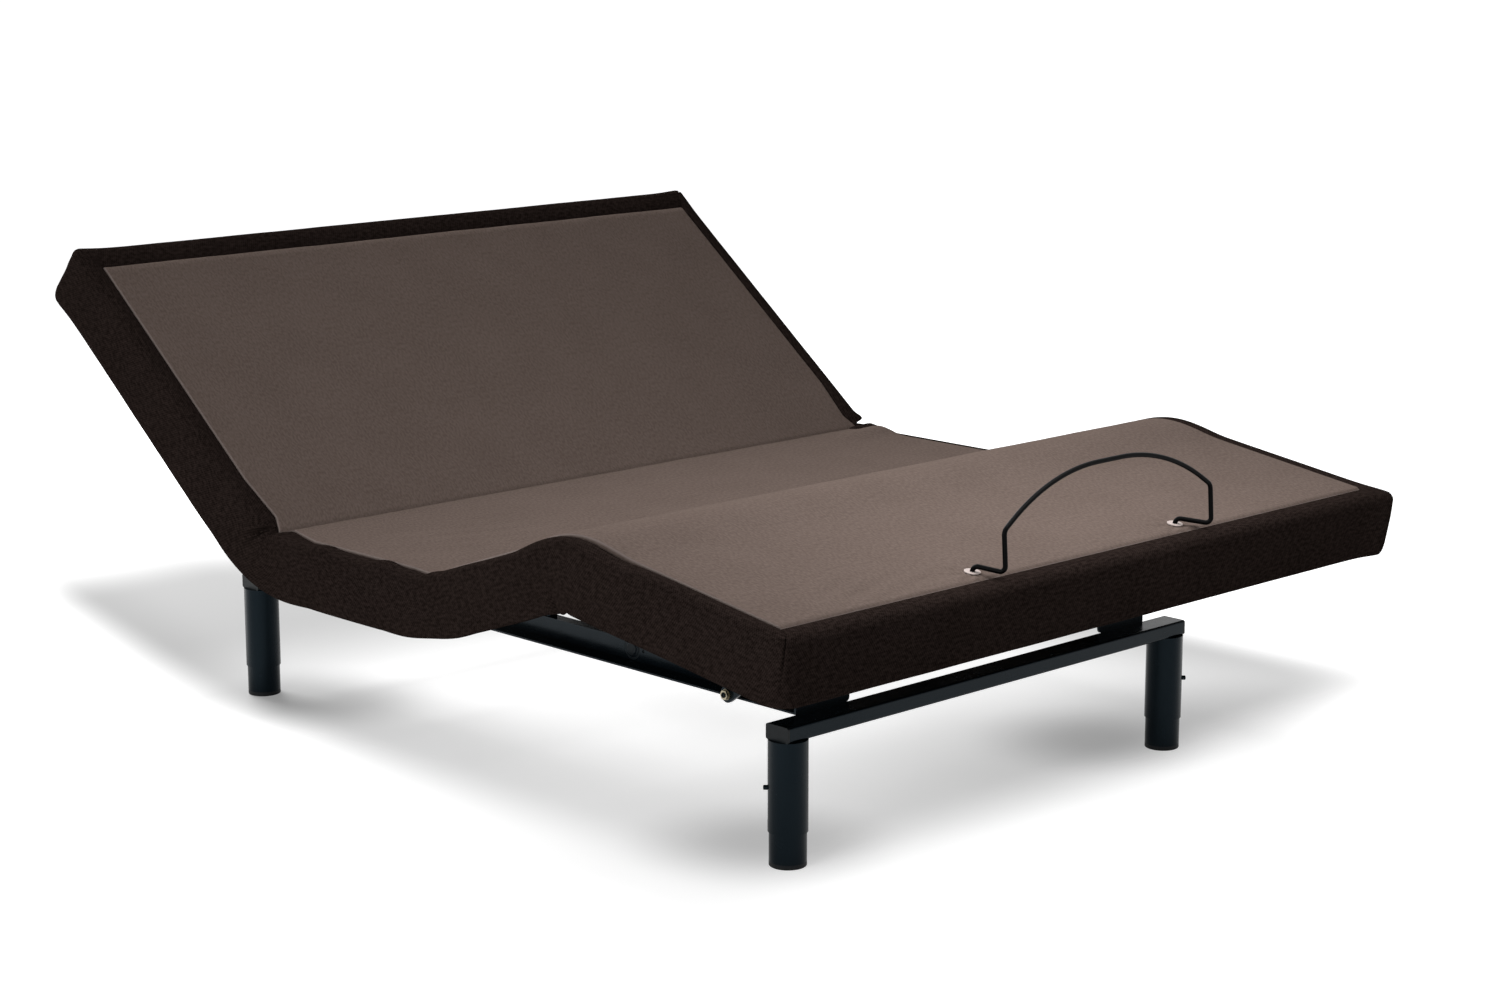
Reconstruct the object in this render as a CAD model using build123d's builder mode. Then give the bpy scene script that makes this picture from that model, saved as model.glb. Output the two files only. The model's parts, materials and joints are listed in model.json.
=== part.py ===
# Adjustable bed base, queen size, modelled in its raised pose: back up, knees up.
# X runs across the bed, +Y towards the head end, +Z up, with the floor at Z = 0.
# The frame stands on four telescopic legs. Two screw drives turn two lift shafts, whose
# rollers push the back and thigh panels up. The foot panel hangs on the thigh panel and
# is steered by a pair of links from the side rails.
import os
from math import asin, atan2, cos, degrees, hypot, radians, sin, tan

from build123d import *

os.makedirs("parts", exist_ok=True)

# Deck
DECK_WIDTH = 1511
HEAD_LENGTH = 734
SEAT_LENGTH = 443
THIGH_LENGTH = 369
FOOT_LENGTH = 498
SEAT_CENTRE = 115
DECK_HEIGHT = 420
PANEL_DEPTH = 105
PAD_THICKNESS = 18
BOARD_THICKNESS = 12
TIMBER_THICKNESS = 20
BORDER_SIDE = 34
BORDER_FOOT_END = 45
BORDER_HEAD_END = 57
BORDER_WALL = 16
EDGE_RADIUS = 14
CORNER_RADIUS = 16
HEM_RADIUS = 6
HEM = 6
PAD_EDGE = 3
SEAM = 0.2

# Pose in degrees: the raised pose that is modelled, and the limits of the travel
HEAD_RAISED = 38
HEAD_LIMIT = 60
THIGH_RAISED = 19
THIGH_LIMIT = 35
FOOT_DROP_RATIO = 0.44

# Base frame
LEG_SPREAD = 948
LEG_LINE_FOOT = -674
LEG_LINE_HEAD = 750
LEG_HEIGHT = 208
CROSSBAR_LENGTH = 990
CROSSBAR_DEPTH = 50
CROSSBAR_HEIGHT = 26
TUBE_WALL = 2.5
TUBE_ROUND = 4
CAP_THICKNESS = 4
CAP_PLUG = 20
RAIL_OUTER = 436
RAIL_FLANGE = 35
RAIL_TOP_FLANGE = 20
RAIL_HEIGHT = 46
RAIL_WALL = 3
RAIL_HOLE = 3
RAIL_HOLE_START = -254
RAIL_HOLE_PITCH = 340
RAIL_HOLES = 3
SADDLE_REACH = 84
SADDLE_PLATE = 4
SADDLE_LIP = 26
SADDLE_CORNER = 8
POST_WIDTH = 40
POST_DEPTH = 20
BEARER = 40
BEARER_INSET = 95
FIT = 0.3

# Telescopic legs
LEG_TUBE = 65
LEG_TUBE_WALL = 1.7
LEG_TUBE_FOOT = 57
LEG_CAP = 4
INNER_TUBE_TOP = 178
LEG_TRAVEL = 50
LEG_STOPS = 3
BUTTON_HEIGHT = 128
BUTTON_RADIUS = 4
BUTTON_PROUD = 7
BUTTON_ROOM = 0.6
BUTTON_FLANGE = 2
GLIDE_THICKNESS = 8
GLIDE_PLUG = 22
GLIDE_EDGE = 2

# Hinges
HINGE_SPREAD = 590
LEAF_WIDTH = 80
LEAF_LENGTH = 70
LEAF_THICKNESS = 3
KNUCKLE_RADIUS = 8
KNUCKLE_MIDDLE = 27
KNUCKLE_GAP = 0.5
PIN_RADIUS = 4
PIN_FIT = 0.05
PIN_OVERHANG = 2
HINGE_GAP = 1
BOARD_SETBACK = 10

# Lift shafts, arms and rollers
SHAFT_HEIGHT = 257
SHAFT_RADIUS = 15
SHAFT_BORE = 12
SHAFT_PROUD = 1
SHAFT_FIT = 0.1
SHAFT_BOSS = 24
BUSH_WALL = 4
BUSH_FLANGE = 4
BUSH_RIM = 6
BUSH_BOSS = 14
HEAD_SHAFT_OFFSET = 230
HEAD_ARM = 330
THIGH_SHAFT_OFFSET = 120
THIGH_ARM = 200
ARM_SPREAD = 480
ARM_PLATE = 8
ARM_END = 14
ROLLER_RADIUS = 22
ROLLER_WIDTH = 22
ROLLER_LINE = 50
ROLLER_EDGE = 3
ROLLER_SIDE = 0.5
AXLE_RADIUS = 6
AXLE_HEAD = 3
TRACK_WIDTH = 26
TRACK_OVERRUN = 3
TRACK_POINTS = 5
TRACK_PROBE = 1
LEVER = 60
LEVER_PLATE = 6
LEVER_PIN = 6
LEVER_END = 14
YOKE_WIDTH = 20
YOKE_ROOM = 1.5
YOKE_WALL = 8
YOKE_FIT = 1
YOKE_LINE = 0.87

# Linear drives
ROD_RADIUS = 10
ROD_ENGAGED = 45
DRIVE_TUBE = 17
DRIVE_TUBE_SPARE = 60
DRIVE_MOUTH = 8
GEARBOX_LENGTH = 84
GEARBOX_WIDTH = 64
GEARBOX_HEIGHT = 66
GEARBOX_ROUND = 8
MOTOR_RADIUS = 26
MOTOR_LENGTH = 96
MOTOR_OFFSET = 66
LUG_WIDTH = 20
LUG_REACH = 26
LUG_PIN = 5
CROSSMEMBER = 40
CLEVIS_PLATE = 5
CLEVIS_END = 14
CLEVIS_SIDE = 1

# Foot panel links
LINK_PIVOT_BACK = 408
LINK_PIVOT_RISE = 10.5
LINK_REACH = 260
LINK_DROP = 100
LINK_PLATE = 6
LINK_HALF_HEIGHT = 14
LINK_BOLT = 5
LINK_BOLT_HEAD = 8.5
LINK_NUT = 5
LINK_SPACER = 7
LINK_WASHER = 9
LINK_WASHER_THICKNESS = 2.2
LINK_LINE = 449
LINK_ROOM = 4.6
LINK_STRETCH = 0.38
LINK_LEAD = 0.94
LINK_EYE = 19
BRACKET_PLATE = 5
BRACKET_LENGTH = 70
BRACKET_FLANGE = 40
BRACKET_SIDE = 1
PIN_HEAD = 16
PIN_HEAD_THICKNESS = 2

# Mattress retainer bar
RETAINER_WIRE = 4
RETAINER_SPAN = 517
RETAINER_SOCKET_SPAN = 505
RETAINER_SOCKET_SIDE = 22
RETAINER_UPRIGHT_SIDE = -5
RETAINER_SOCKET_LINE = 423
RETAINER_UPRIGHT_LINE = 472
RETAINER_LEAN = 12
RETAINER_UPRIGHT = 66
RETAINER_RISE = 77
RETAINER_SHOULDER = 115
RETAINER_BEND = 9
RETAINER_CORNER = 14
RETAINER_CROWN = 380
SOCKET_BELOW = 9
SOCKET_WALL = 3
SOCKET_RIM = 6
SOCKET_RIM_THICKNESS = 1.5

# Massage motors and control box
MASSAGE_RADIUS = 62
MASSAGE_FLANGE = 78
MASSAGE_FLANGE_THICKNESS = 4
MASSAGE_DEPTH = 40
MASSAGE_ROUND = 8
MASSAGE_LINE_HEAD = 380
MASSAGE_LINE_FOOT = 245
CONTROL_BOX = (190, 120, 42)
CONTROL_BOX_SIDE = 360
CONTROL_ROUND = 8
INLET_RADIUS = 5
INLET_DEPTH = 20

# Levels in a panel, measured square to its board from the hinge axis
TOP = PAD_THICKNESS + BOARD_THICKNESS / 2
BOARD_TOP = BOARD_THICKNESS / 2
BOARD_BOTTOM = -BOARD_THICKNESS / 2
BOTTOM = TOP - PANEL_DEPTH
HALF_WIDTH = DECK_WIDTH / 2
WALL_INSIDE = HALF_WIDTH - BORDER_WALL
PAD_SIDE = HALF_WIDTH - BORDER_SIDE
HINGE_HEIGHT = DECK_HEIGHT - TOP

# Places of the hinge axes
HEAD_HINGE = SEAT_CENTRE + SEAT_LENGTH / 2
THIGH_HINGE = SEAT_CENTRE - SEAT_LENGTH / 2
KNEE_Y = THIGH_HINGE - THIGH_LENGTH * cos(radians(THIGH_RAISED))
KNEE_Z = HINGE_HEIGHT + THIGH_LENGTH * sin(radians(THIGH_RAISED))
FOOT_DROPPED = FOOT_DROP_RATIO * THIGH_RAISED
KNEE_LIMIT = (1 + FOOT_DROP_RATIO) * THIGH_LIMIT

# Base frame levels
CROSSBAR_TOP = LEG_HEIGHT + CROSSBAR_HEIGHT
RAIL_TOP = CROSSBAR_TOP + RAIL_HEIGHT
RAIL_WEB = RAIL_OUTER - RAIL_FLANGE
RAIL_INSIDE = RAIL_WEB - RAIL_WALL
RAIL_START = LEG_LINE_FOOT + CROSSBAR_DEPTH / 2
RAIL_END = LEG_LINE_HEAD - CROSSBAR_DEPTH / 2
LEG_X = LEG_SPREAD / 2
HEAD_SHAFT = HEAD_HINGE + HEAD_SHAFT_OFFSET
THIGH_SHAFT = THIGH_HINGE - THIGH_SHAFT_OFFSET
SHAFT_DROP = HINGE_HEIGHT - SHAFT_HEIGHT


def write(piece, name):
    """Label a finished piece and write it to its own file."""
    piece.part.label = name
    export_step(piece.part, f"parts/{name}.step")


def panel_plane(y, z, slope, towards_head):
    """Plane on an axis across the bed: local Y along the panel, local Z square to it."""
    rise = sin(radians(slope))
    run = cos(radians(slope))
    if towards_head:
        return Plane(origin=(0, y, z), x_dir=(1, 0, 0), z_dir=(0, -rise, run))
    return Plane(origin=(0, y, z), x_dir=(-1, 0, 0), z_dir=(0, rise, run))


def side(plane, across=0):
    """Plane for a side profile: local X along the panel, local Y square to its board."""
    shifted = plane.origin + plane.x_dir * across
    return Plane(origin=shifted, x_dir=plane.y_dir, z_dir=plane.x_dir)


def strip(plane, start, end, low, high, half_width, mode=Mode.ADD):
    """Add a plain slab between two lines along a panel and two levels, centred across it."""
    with BuildSketch(side(plane)) as profile:
        with Locations(((start + end) / 2, (low + high) / 2)):
            Rectangle(end - start, high - low)
    extrude(profile.sketch, amount=half_width, both=True, mode=mode)


HEAD = panel_plane(HEAD_HINGE, HINGE_HEIGHT, HEAD_RAISED, True)
SEAT = panel_plane(THIGH_HINGE, HINGE_HEIGHT, 0, True)
SEAT_FROM_HEAD = panel_plane(HEAD_HINGE, HINGE_HEIGHT, 0, False)
THIGH = panel_plane(THIGH_HINGE, HINGE_HEIGHT, THIGH_RAISED, False)
THIGH_FROM_KNEE = panel_plane(KNEE_Y, KNEE_Z, -THIGH_RAISED, True)
FOOT = panel_plane(KNEE_Y, KNEE_Z, -FOOT_DROPPED, False)

# How far each panel end stands back from its hinge axis at the top and at the hem, so
# that neighbouring panels stay clear of each other at the limit of their fold
HEAD_SETBACK = (TOP * tan(radians(HEAD_LIMIT / 2)) + HINGE_GAP, HINGE_GAP)
THIGH_SETBACK = (TOP * tan(radians(THIGH_LIMIT / 2)) + HINGE_GAP, HINGE_GAP)
KNEE_SETBACK = (HINGE_GAP, -BOTTOM * tan(radians(KNEE_LIMIT / 2)) + HINGE_GAP)


def hinged_end(setback):
    """Corners of a hinged panel end in side view, from the top down."""
    top, hem = setback
    return [(top, TOP), (HINGE_GAP, 0), (hem, BOTTOM)]


def panel_outline(length, near, far):
    """Side view of a panel between its hinged near end and its far end."""
    corners = hinged_end(near)
    if far is None:
        return corners + [(length, BOTTOM), (length, TOP)]
    return corners + [(length - along, level) for along, level in reversed(hinged_end(far))]


def outline_face(outline):
    """Add a face of the given corners to the sketch."""
    with BuildLine() as edge:
        Polyline(*outline, close=True)
    make_face(edge.edges())


def clear_end(length, far, margin):
    """Where a cut ends along its panel: short of a free border, or past a hinge."""
    return length - margin if far is None else length + margin


def border(name, plane, length, near, far, end_margin):
    """Upholstered border of one panel: top margin and skirt, mitred at the free corners."""
    along = Axis(plane.origin, plane.y_dir)
    square = Axis(plane.origin, plane.z_dir)
    with BuildPart() as skirt:
        with BuildSketch(side(plane)):
            outline_face(panel_outline(length, near, far))
        extrude(amount=HALF_WIDTH, both=True)
        if far is None:
            fillet(skirt.edges().filter_by(square).sort_by(along)[-2:], CORNER_RADIUS)
        top = skirt.faces().sort_by(square)[-1]
        hem = skirt.faces().sort_by(square)[0]
        if far is None:
            rim = top.edges().sort_by(along)[1:]
            lower = hem.edges().sort_by(along)[1:]
        else:
            rim = top.edges().filter_by(along)
            lower = hem.edges().filter_by(along)
        fillet(rim, EDGE_RADIUS)
        fillet(lower, HEM_RADIUS)
        inside = clear_end(length, far, BORDER_WALL)
        strip(plane, -end_margin, inside, BOTTOM - HEM, BOARD_TOP, WALL_INSIDE, Mode.SUBTRACT)
        pocket = clear_end(length, far, end_margin)
        strip(plane, -end_margin, pocket, BOARD_TOP, TOP + HEM, PAD_SIDE, Mode.SUBTRACT)
        if far is None:
            for hand in (-1, 1):
                corner = plane.from_local_coords((hand * HALF_WIDTH, length, 0))
                normal = plane.x_dir * end_margin - plane.y_dir * (hand * BORDER_SIDE)
                split(bisect_by=Plane(origin=corner, z_dir=normal), keep=Keep.BOTH)
    write(skirt, name)


def bore_holes(plane, holes):
    """Bore round holes square through a panel layer, each given by place and radius."""
    for across, along, radius in holes:
        with BuildSketch(plane) as hole:
            with Locations((across, along)):
                Circle(radius)
        extrude(hole.sketch, amount=PANEL_DEPTH, both=True, mode=Mode.SUBTRACT)


def pad(name, plane, length, near, far, end_margin, holes):
    """Thin foam topper of one panel, lying on the board inside the border."""
    start = max(near[0], BOARD_SETBACK)
    end = length - end_margin - SEAM if far is None else length - max(far[0], BOARD_SETBACK)
    with BuildPart() as topper:
        strip(plane, start, end, BOARD_TOP, TOP, PAD_SIDE - SEAM)
        crown = topper.faces().sort_by(Axis(plane.origin, plane.z_dir))[-1]
        fillet(crown.edges(), PAD_EDGE)
        bore_holes(plane, holes)
    write(topper, name)


def deck(name, plane, length, near, far, holes):
    """Plywood board with the side timbers, and an end timber at a free end, below it."""
    board_end = length - BORDER_WALL - SEAM if far is None else length - BOARD_SETBACK
    timber_end = WALL_INSIDE - SEAM
    with BuildPart() as board:
        strip(plane, BOARD_SETBACK, board_end, BOARD_BOTTOM, BOARD_TOP, timber_end)
        bore_holes(plane, holes)
        for across in (-timber_end, timber_end - TIMBER_THICKNESS):
            with BuildSketch(side(plane, across)):
                outline_face(panel_outline(length, near, far))
                low = BOTTOM + HEM
                high = BOARD_BOTTOM - SEAM
                with Locations(((BOARD_SETBACK + board_end) / 2, (low + high) / 2)):
                    Rectangle(board_end - BOARD_SETBACK, high - low, mode=Mode.INTERSECT)
            extrude(amount=TIMBER_THICKNESS)
        if far is None:
            strip(
                plane,
                board_end - TIMBER_THICKNESS,
                board_end,
                BOTTOM + HEM,
                BOARD_BOTTOM - SEAM,
                timber_end - TIMBER_THICKNESS - SEAM,
            )
    write(board, name)


def dress_panel(name, plane, length, near, far, end_margin=BORDER_FOOT_END, holes=()):
    """Board, foam topper and border of one panel."""
    deck(f"{name}_deck", plane, length, near, far, holes)
    pad(f"{name}_pad", plane, length, near, far, end_margin, holes)
    border(f"{name}_border", plane, length, near, far, end_margin)


# The retainer bar's feet and uprights stand a little to either side of the bed's middle.
# Across the foot panel, local X runs from right to left.
SOCKET_BORE = RETAINER_WIRE + FIT
SOCKET_OUTER = SOCKET_BORE + SOCKET_WALL
SOCKET_PLACES = [RETAINER_SOCKET_SIDE + hand * RETAINER_SOCKET_SPAN / 2 for hand in (-1, 1)]
UPRIGHT_PLACES = [RETAINER_UPRIGHT_SIDE + hand * RETAINER_SPAN / 2 for hand in (-1, 1)]
SOCKET_HOLES = [(place, RETAINER_SOCKET_LINE, SOCKET_OUTER + SEAM) for place in SOCKET_PLACES]

dress_panel("head", HEAD, HEAD_LENGTH, HEAD_SETBACK, None, BORDER_HEAD_END)
dress_panel("seat", SEAT, SEAT_LENGTH, THIGH_SETBACK, HEAD_SETBACK)
dress_panel("thigh", THIGH, THIGH_LENGTH, THIGH_SETBACK, KNEE_SETBACK)
dress_panel("foot", FOOT, FOOT_LENGTH, KNEE_SETBACK, None, holes=SOCKET_HOLES)

# Hinges: each has a leaf with two outer knuckles, a leaf with one middle knuckle, and a pin
HINGE_PLACES = (-HINGE_SPREAD, 0, HINGE_SPREAD)
MIDDLE_KNUCKLE = [(-KNUCKLE_MIDDLE / 2, KNUCKLE_MIDDLE / 2)]
KNUCKLE_START = KNUCKLE_MIDDLE / 2 + KNUCKLE_GAP
OUTER_KNUCKLES = [(-LEAF_WIDTH / 2, -KNUCKLE_START), (KNUCKLE_START, LEAF_WIDTH / 2)]


def hinge_leaves(plane, knuckles):
    """Add a row of hinge leaves below a board, with their knuckles on the hinge axis."""
    leaf_low = BOARD_BOTTOM - LEAF_THICKNESS
    for place in HINGE_PLACES:
        with BuildSketch(side(plane, place - LEAF_WIDTH / 2)) as leaf:
            with Locations(((BOARD_SETBACK + LEAF_LENGTH) / 2, leaf_low + LEAF_THICKNESS / 2)):
                Rectangle(LEAF_LENGTH - BOARD_SETBACK, LEAF_THICKNESS)
        extrude(leaf.sketch, amount=LEAF_WIDTH)
        for start, end in knuckles:
            with BuildSketch(side(plane, place + start)) as knuckle:
                Circle(KNUCKLE_RADIUS)
                web = BOARD_SETBACK + LEAF_THICKNESS
                with Locations((web / 2, leaf_low + LEAF_THICKNESS / 2)):
                    Rectangle(web, LEAF_THICKNESS)
                Circle(PIN_RADIUS + PIN_FIT, mode=Mode.SUBTRACT)
            extrude(knuckle.sketch, amount=end - start)


def hinge_pins(plane):
    """Add the pins of one row of hinges."""
    pin_length = LEAF_WIDTH + 2 * PIN_OVERHANG
    for place in HINGE_PLACES:
        with BuildSketch(side(plane, place - pin_length / 2)) as pin:
            Circle(PIN_RADIUS)
        extrude(pin.sketch, amount=pin_length)


with BuildPart() as seat_hinge_leaves:
    hinge_leaves(SEAT, OUTER_KNUCKLES)
    hinge_leaves(SEAT_FROM_HEAD, OUTER_KNUCKLES)
write(seat_hinge_leaves, "seat_hinge_leaves")

with BuildPart() as seat_hinge_pins:
    hinge_pins(SEAT)
    hinge_pins(SEAT_FROM_HEAD)
write(seat_hinge_pins, "seat_hinge_pins")

with BuildPart() as head_hinge_leaves:
    hinge_leaves(HEAD, MIDDLE_KNUCKLE)
write(head_hinge_leaves, "head_hinge_leaves")

with BuildPart() as thigh_hinge_leaves:
    hinge_leaves(THIGH, MIDDLE_KNUCKLE)
    hinge_leaves(THIGH_FROM_KNEE, OUTER_KNUCKLES)
write(thigh_hinge_leaves, "thigh_hinge_leaves")

with BuildPart() as knee_hinge_pins:
    hinge_pins(THIGH_FROM_KNEE)
write(knee_hinge_pins, "knee_hinge_pins")

with BuildPart() as foot_hinge_leaves:
    hinge_leaves(FOOT, MIDDLE_KNUCKLE)
write(foot_hinge_leaves, "foot_hinge_leaves")


# Crossbars: rectangular tubes on the legs, closed by moulded caps
for name, line in (("foot_crossbar", LEG_LINE_FOOT), ("head_crossbar", LEG_LINE_HEAD)):
    with BuildPart() as crossbar:
        with BuildSketch(Plane.YZ):
            with Locations((line, LEG_HEIGHT + CROSSBAR_HEIGHT / 2)):
                RectangleRounded(CROSSBAR_DEPTH, CROSSBAR_HEIGHT, TUBE_ROUND)
                Rectangle(
                    CROSSBAR_DEPTH - 2 * TUBE_WALL,
                    CROSSBAR_HEIGHT - 2 * TUBE_WALL,
                    mode=Mode.SUBTRACT,
                )
        extrude(amount=CROSSBAR_LENGTH / 2, both=True)
    write(crossbar, name)

with BuildPart() as crossbar_end_caps:
    for line in (LEG_LINE_FOOT, LEG_LINE_HEAD):
        for hand in (-1, 1):
            with BuildSketch(Plane.YZ.offset(hand * CROSSBAR_LENGTH / 2)):
                with Locations((line, LEG_HEIGHT + CROSSBAR_HEIGHT / 2)):
                    RectangleRounded(CROSSBAR_DEPTH, CROSSBAR_HEIGHT, TUBE_ROUND)
            extrude(amount=hand * CAP_THICKNESS)
            with BuildSketch(Plane.YZ.offset(hand * CROSSBAR_LENGTH / 2)):
                with Locations((line, LEG_HEIGHT + CROSSBAR_HEIGHT / 2)):
                    Rectangle(
                        CROSSBAR_DEPTH - 2 * (TUBE_WALL + SEAM),
                        CROSSBAR_HEIGHT - 2 * (TUBE_WALL + SEAM),
                    )
            extrude(amount=-hand * CAP_PLUG)
write(crossbar_end_caps, "crossbar_end_caps")

# Foot link geometry: the fixed pivot on the rail and the pin on the foot panel
LINK_PIVOT_Y = THIGH_HINGE - LINK_PIVOT_BACK
LINK_PIVOT_Z = CROSSBAR_TOP + LINK_PIVOT_RISE
LINK_PIN = FOOT.from_local_coords((0, LINK_REACH, -LINK_DROP))
LINK_RUN = LINK_PIVOT_Y - LINK_PIN.Y
LINK_CLIMB = LINK_PIN.Z - LINK_PIVOT_Z
LINK_LENGTH = hypot(LINK_RUN, LINK_CLIMB) + LINK_STRETCH
LINK_SLOPE = degrees(atan2(LINK_CLIMB, LINK_RUN)) + LINK_LEAD

# Side rails: channels open to the outside
BEARER_LINES = (THIGH_HINGE + BEARER_INSET, HEAD_HINGE - BEARER_INSET)
BEARER_TOP = HINGE_HEIGHT + BOARD_BOTTOM
BUSH_OUTER = SHAFT_RADIUS + SHAFT_FIT + BUSH_WALL
WEB_MIDDLE = (RAIL_INSIDE + RAIL_WEB) / 2
RAIL_MIDDLE = (CROSSBAR_TOP + RAIL_TOP) / 2


def rail_section(hand):
    """Corners of the channel on one side of the bed, seen along it."""
    top_edge = RAIL_WEB + RAIL_TOP_FLANGE
    corners = [
        (RAIL_INSIDE, CROSSBAR_TOP),
        (RAIL_OUTER, CROSSBAR_TOP),
        (RAIL_OUTER, CROSSBAR_TOP + RAIL_WALL),
        (RAIL_WEB, CROSSBAR_TOP + RAIL_WALL),
        (RAIL_WEB, RAIL_TOP - RAIL_WALL),
        (top_edge, RAIL_TOP - RAIL_WALL),
        (top_edge, RAIL_TOP),
        (RAIL_INSIDE, RAIL_TOP),
    ]
    return [(hand * across, level) for across, level in corners]


for name, hand in (("side_rail_left", -1), ("side_rail_right", 1)):
    with BuildPart() as rail:
        with BuildSketch(Plane.XZ.offset(-RAIL_START)):
            outline_face(rail_section(hand))
        extrude(amount=RAIL_START - RAIL_END)
        with BuildSketch(Plane.YZ.offset(hand * WEB_MIDDLE)):
            with Locations((HEAD_SHAFT, SHAFT_HEIGHT), (THIGH_SHAFT, SHAFT_HEIGHT)):
                Circle(BUSH_OUTER + SEAM)
            with Locations((LINK_PIVOT_Y, LINK_PIVOT_Z)):
                Circle(LINK_BOLT + SEAM)
            for step in range(RAIL_HOLES):
                with Locations((RAIL_HOLE_START + step * RAIL_HOLE_PITCH, RAIL_MIDDLE)):
                    Circle(RAIL_HOLE)
        extrude(amount=RAIL_WALL, both=True, mode=Mode.SUBTRACT)
    write(rail, name)

# Saddles: end plates that tie the rails to the crossbars, with a lip beside the rail
with BuildPart() as rail_saddles:
    for start, outward in ((RAIL_START, -1), (RAIL_END, 1)):
        for hand in (-1, 1):
            free_end = RAIL_INSIDE - SADDLE_REACH
            with BuildSketch(Plane.XZ.offset(-start)) as plate:
                corners = [
                    (hand * free_end, CROSSBAR_TOP),
                    (hand * RAIL_OUTER, CROSSBAR_TOP),
                    (hand * RAIL_OUTER, RAIL_TOP),
                    (hand * free_end, RAIL_TOP),
                ]
                outline_face(corners)
                free_corner = plate.vertices().group_by(Axis.Z)[-1].sort_by(Axis.X)
                fillet(free_corner[0 if hand > 0 else -1], SADDLE_CORNER)
            extrude(amount=-outward * SADDLE_PLATE)
            lip_start = free_end + SADDLE_CORNER
            lip_end = RAIL_INSIDE - SEAM
            with BuildSketch(Plane.XY.offset(RAIL_TOP)):
                with Locations((hand * (lip_start + lip_end) / 2, start - outward * SADDLE_LIP / 2)):
                    Rectangle(lip_end - lip_start, SADDLE_LIP)
            extrude(amount=-SADDLE_PLATE)
write(rail_saddles, "rail_saddles")

# Posts on the rails, and square bearers across them under the seat board
with BuildPart() as seat_posts:
    with BuildSketch(Plane.XY.offset(RAIL_TOP)):
        for hand in (-1, 1):
            for line in BEARER_LINES:
                with Locations((hand * (RAIL_INSIDE + POST_DEPTH / 2), line)):
                    RectangleRounded(POST_DEPTH, POST_WIDTH, TUBE_ROUND)
                    Rectangle(
                        POST_DEPTH - 2 * TUBE_WALL,
                        POST_WIDTH - 2 * TUBE_WALL,
                        mode=Mode.SUBTRACT,
                    )
    extrude(amount=BEARER_TOP - BEARER - RAIL_TOP)
write(seat_posts, "seat_posts")

with BuildPart() as seat_bearers:
    bearer_half = WALL_INSIDE - TIMBER_THICKNESS - 2 * SEAM
    with BuildSketch(Plane.YZ):
        for line in BEARER_LINES:
            with Locations((line, BEARER_TOP - BEARER / 2)):
                RectangleRounded(BEARER, BEARER, TUBE_ROUND)
                hollow = BEARER - 2 * TUBE_WALL
                Rectangle(hollow, hollow, mode=Mode.SUBTRACT)
    extrude(amount=bearer_half, both=True)
write(seat_bearers, "seat_bearers")


# Lift geometry. A lift arm turns in proportion to its panel, and its roller meets a cam
# track under the board at the roller line when the panel is flat and when it is full up.
def arm_sweep(offset, arm, limit):
    """Arm slope with the panel flat, and degrees of arm turn per degree of panel lift."""
    reach = hypot(offset, SHAFT_DROP)
    dip = atan2(SHAFT_DROP, offset)
    flat = asin((SHAFT_DROP - ROLLER_LINE) / arm)
    lean = asin((reach * sin(dip + radians(limit)) - ROLLER_LINE) / arm)
    return degrees(flat), (limit + degrees(lean - flat)) / limit


HEAD_ARM_FLAT, HEAD_ARM_RATIO = arm_sweep(HEAD_SHAFT_OFFSET, HEAD_ARM, HEAD_LIMIT)
THIGH_ARM_FLAT, THIGH_ARM_RATIO = arm_sweep(THIGH_SHAFT_OFFSET, THIGH_ARM, THIGH_LIMIT)
ARM_FACE = ARM_SPREAD / 2 + ARM_PLATE / 2
ROLLER_FACE = ARM_FACE + ROLLER_SIDE
TRACK_FACE = ROLLER_FACE + ROLLER_WIDTH / 2 - TRACK_WIDTH / 2


def roller_centre(offset, arm, flat, ratio, lift):
    """Roller centre along and square to its panel, at a given lift of the panel."""
    turn = radians(flat + ratio * lift)
    along = offset + arm * cos(turn)
    above = arm * sin(turn) - SHAFT_DROP
    tilt = radians(lift)
    return along * cos(tilt) + above * sin(tilt), above * cos(tilt) - along * sin(tilt)


def track_edge(offset, arm, flat, ratio, limit):
    """Points of the cam edge, a roller radius above the path of the roller centre."""
    edge = []
    step = (limit + 2 * TRACK_OVERRUN) / (TRACK_POINTS - 1)
    for index in range(TRACK_POINTS):
        lift = index * step - TRACK_OVERRUN
        ahead = roller_centre(offset, arm, flat, ratio, lift - TRACK_PROBE)
        behind = roller_centre(offset, arm, flat, ratio, lift + TRACK_PROBE)
        centre = roller_centre(offset, arm, flat, ratio, lift)
        run = ahead[0] - behind[0]
        rise = ahead[1] - behind[1]
        reach = (ROLLER_RADIUS + FIT) / hypot(run, rise)
        edge.append((centre[0] - rise * reach, centre[1] + run * reach))
    return edge


def lift_tracks(name, plane, edge):
    """Two cam tracks below a board, one for each roller."""
    with BuildPart() as tracks:
        for across in (TRACK_FACE, -TRACK_FACE - TRACK_WIDTH):
            with BuildSketch(side(plane, across)):
                with BuildLine() as rim:
                    Spline(*edge)
                    Polyline(
                        edge[-1],
                        (edge[-1][0], BOARD_BOTTOM),
                        (edge[0][0], BOARD_BOTTOM),
                        edge[0],
                    )
                make_face(rim.edges())
            extrude(amount=TRACK_WIDTH)
    write(tracks, name)


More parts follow.
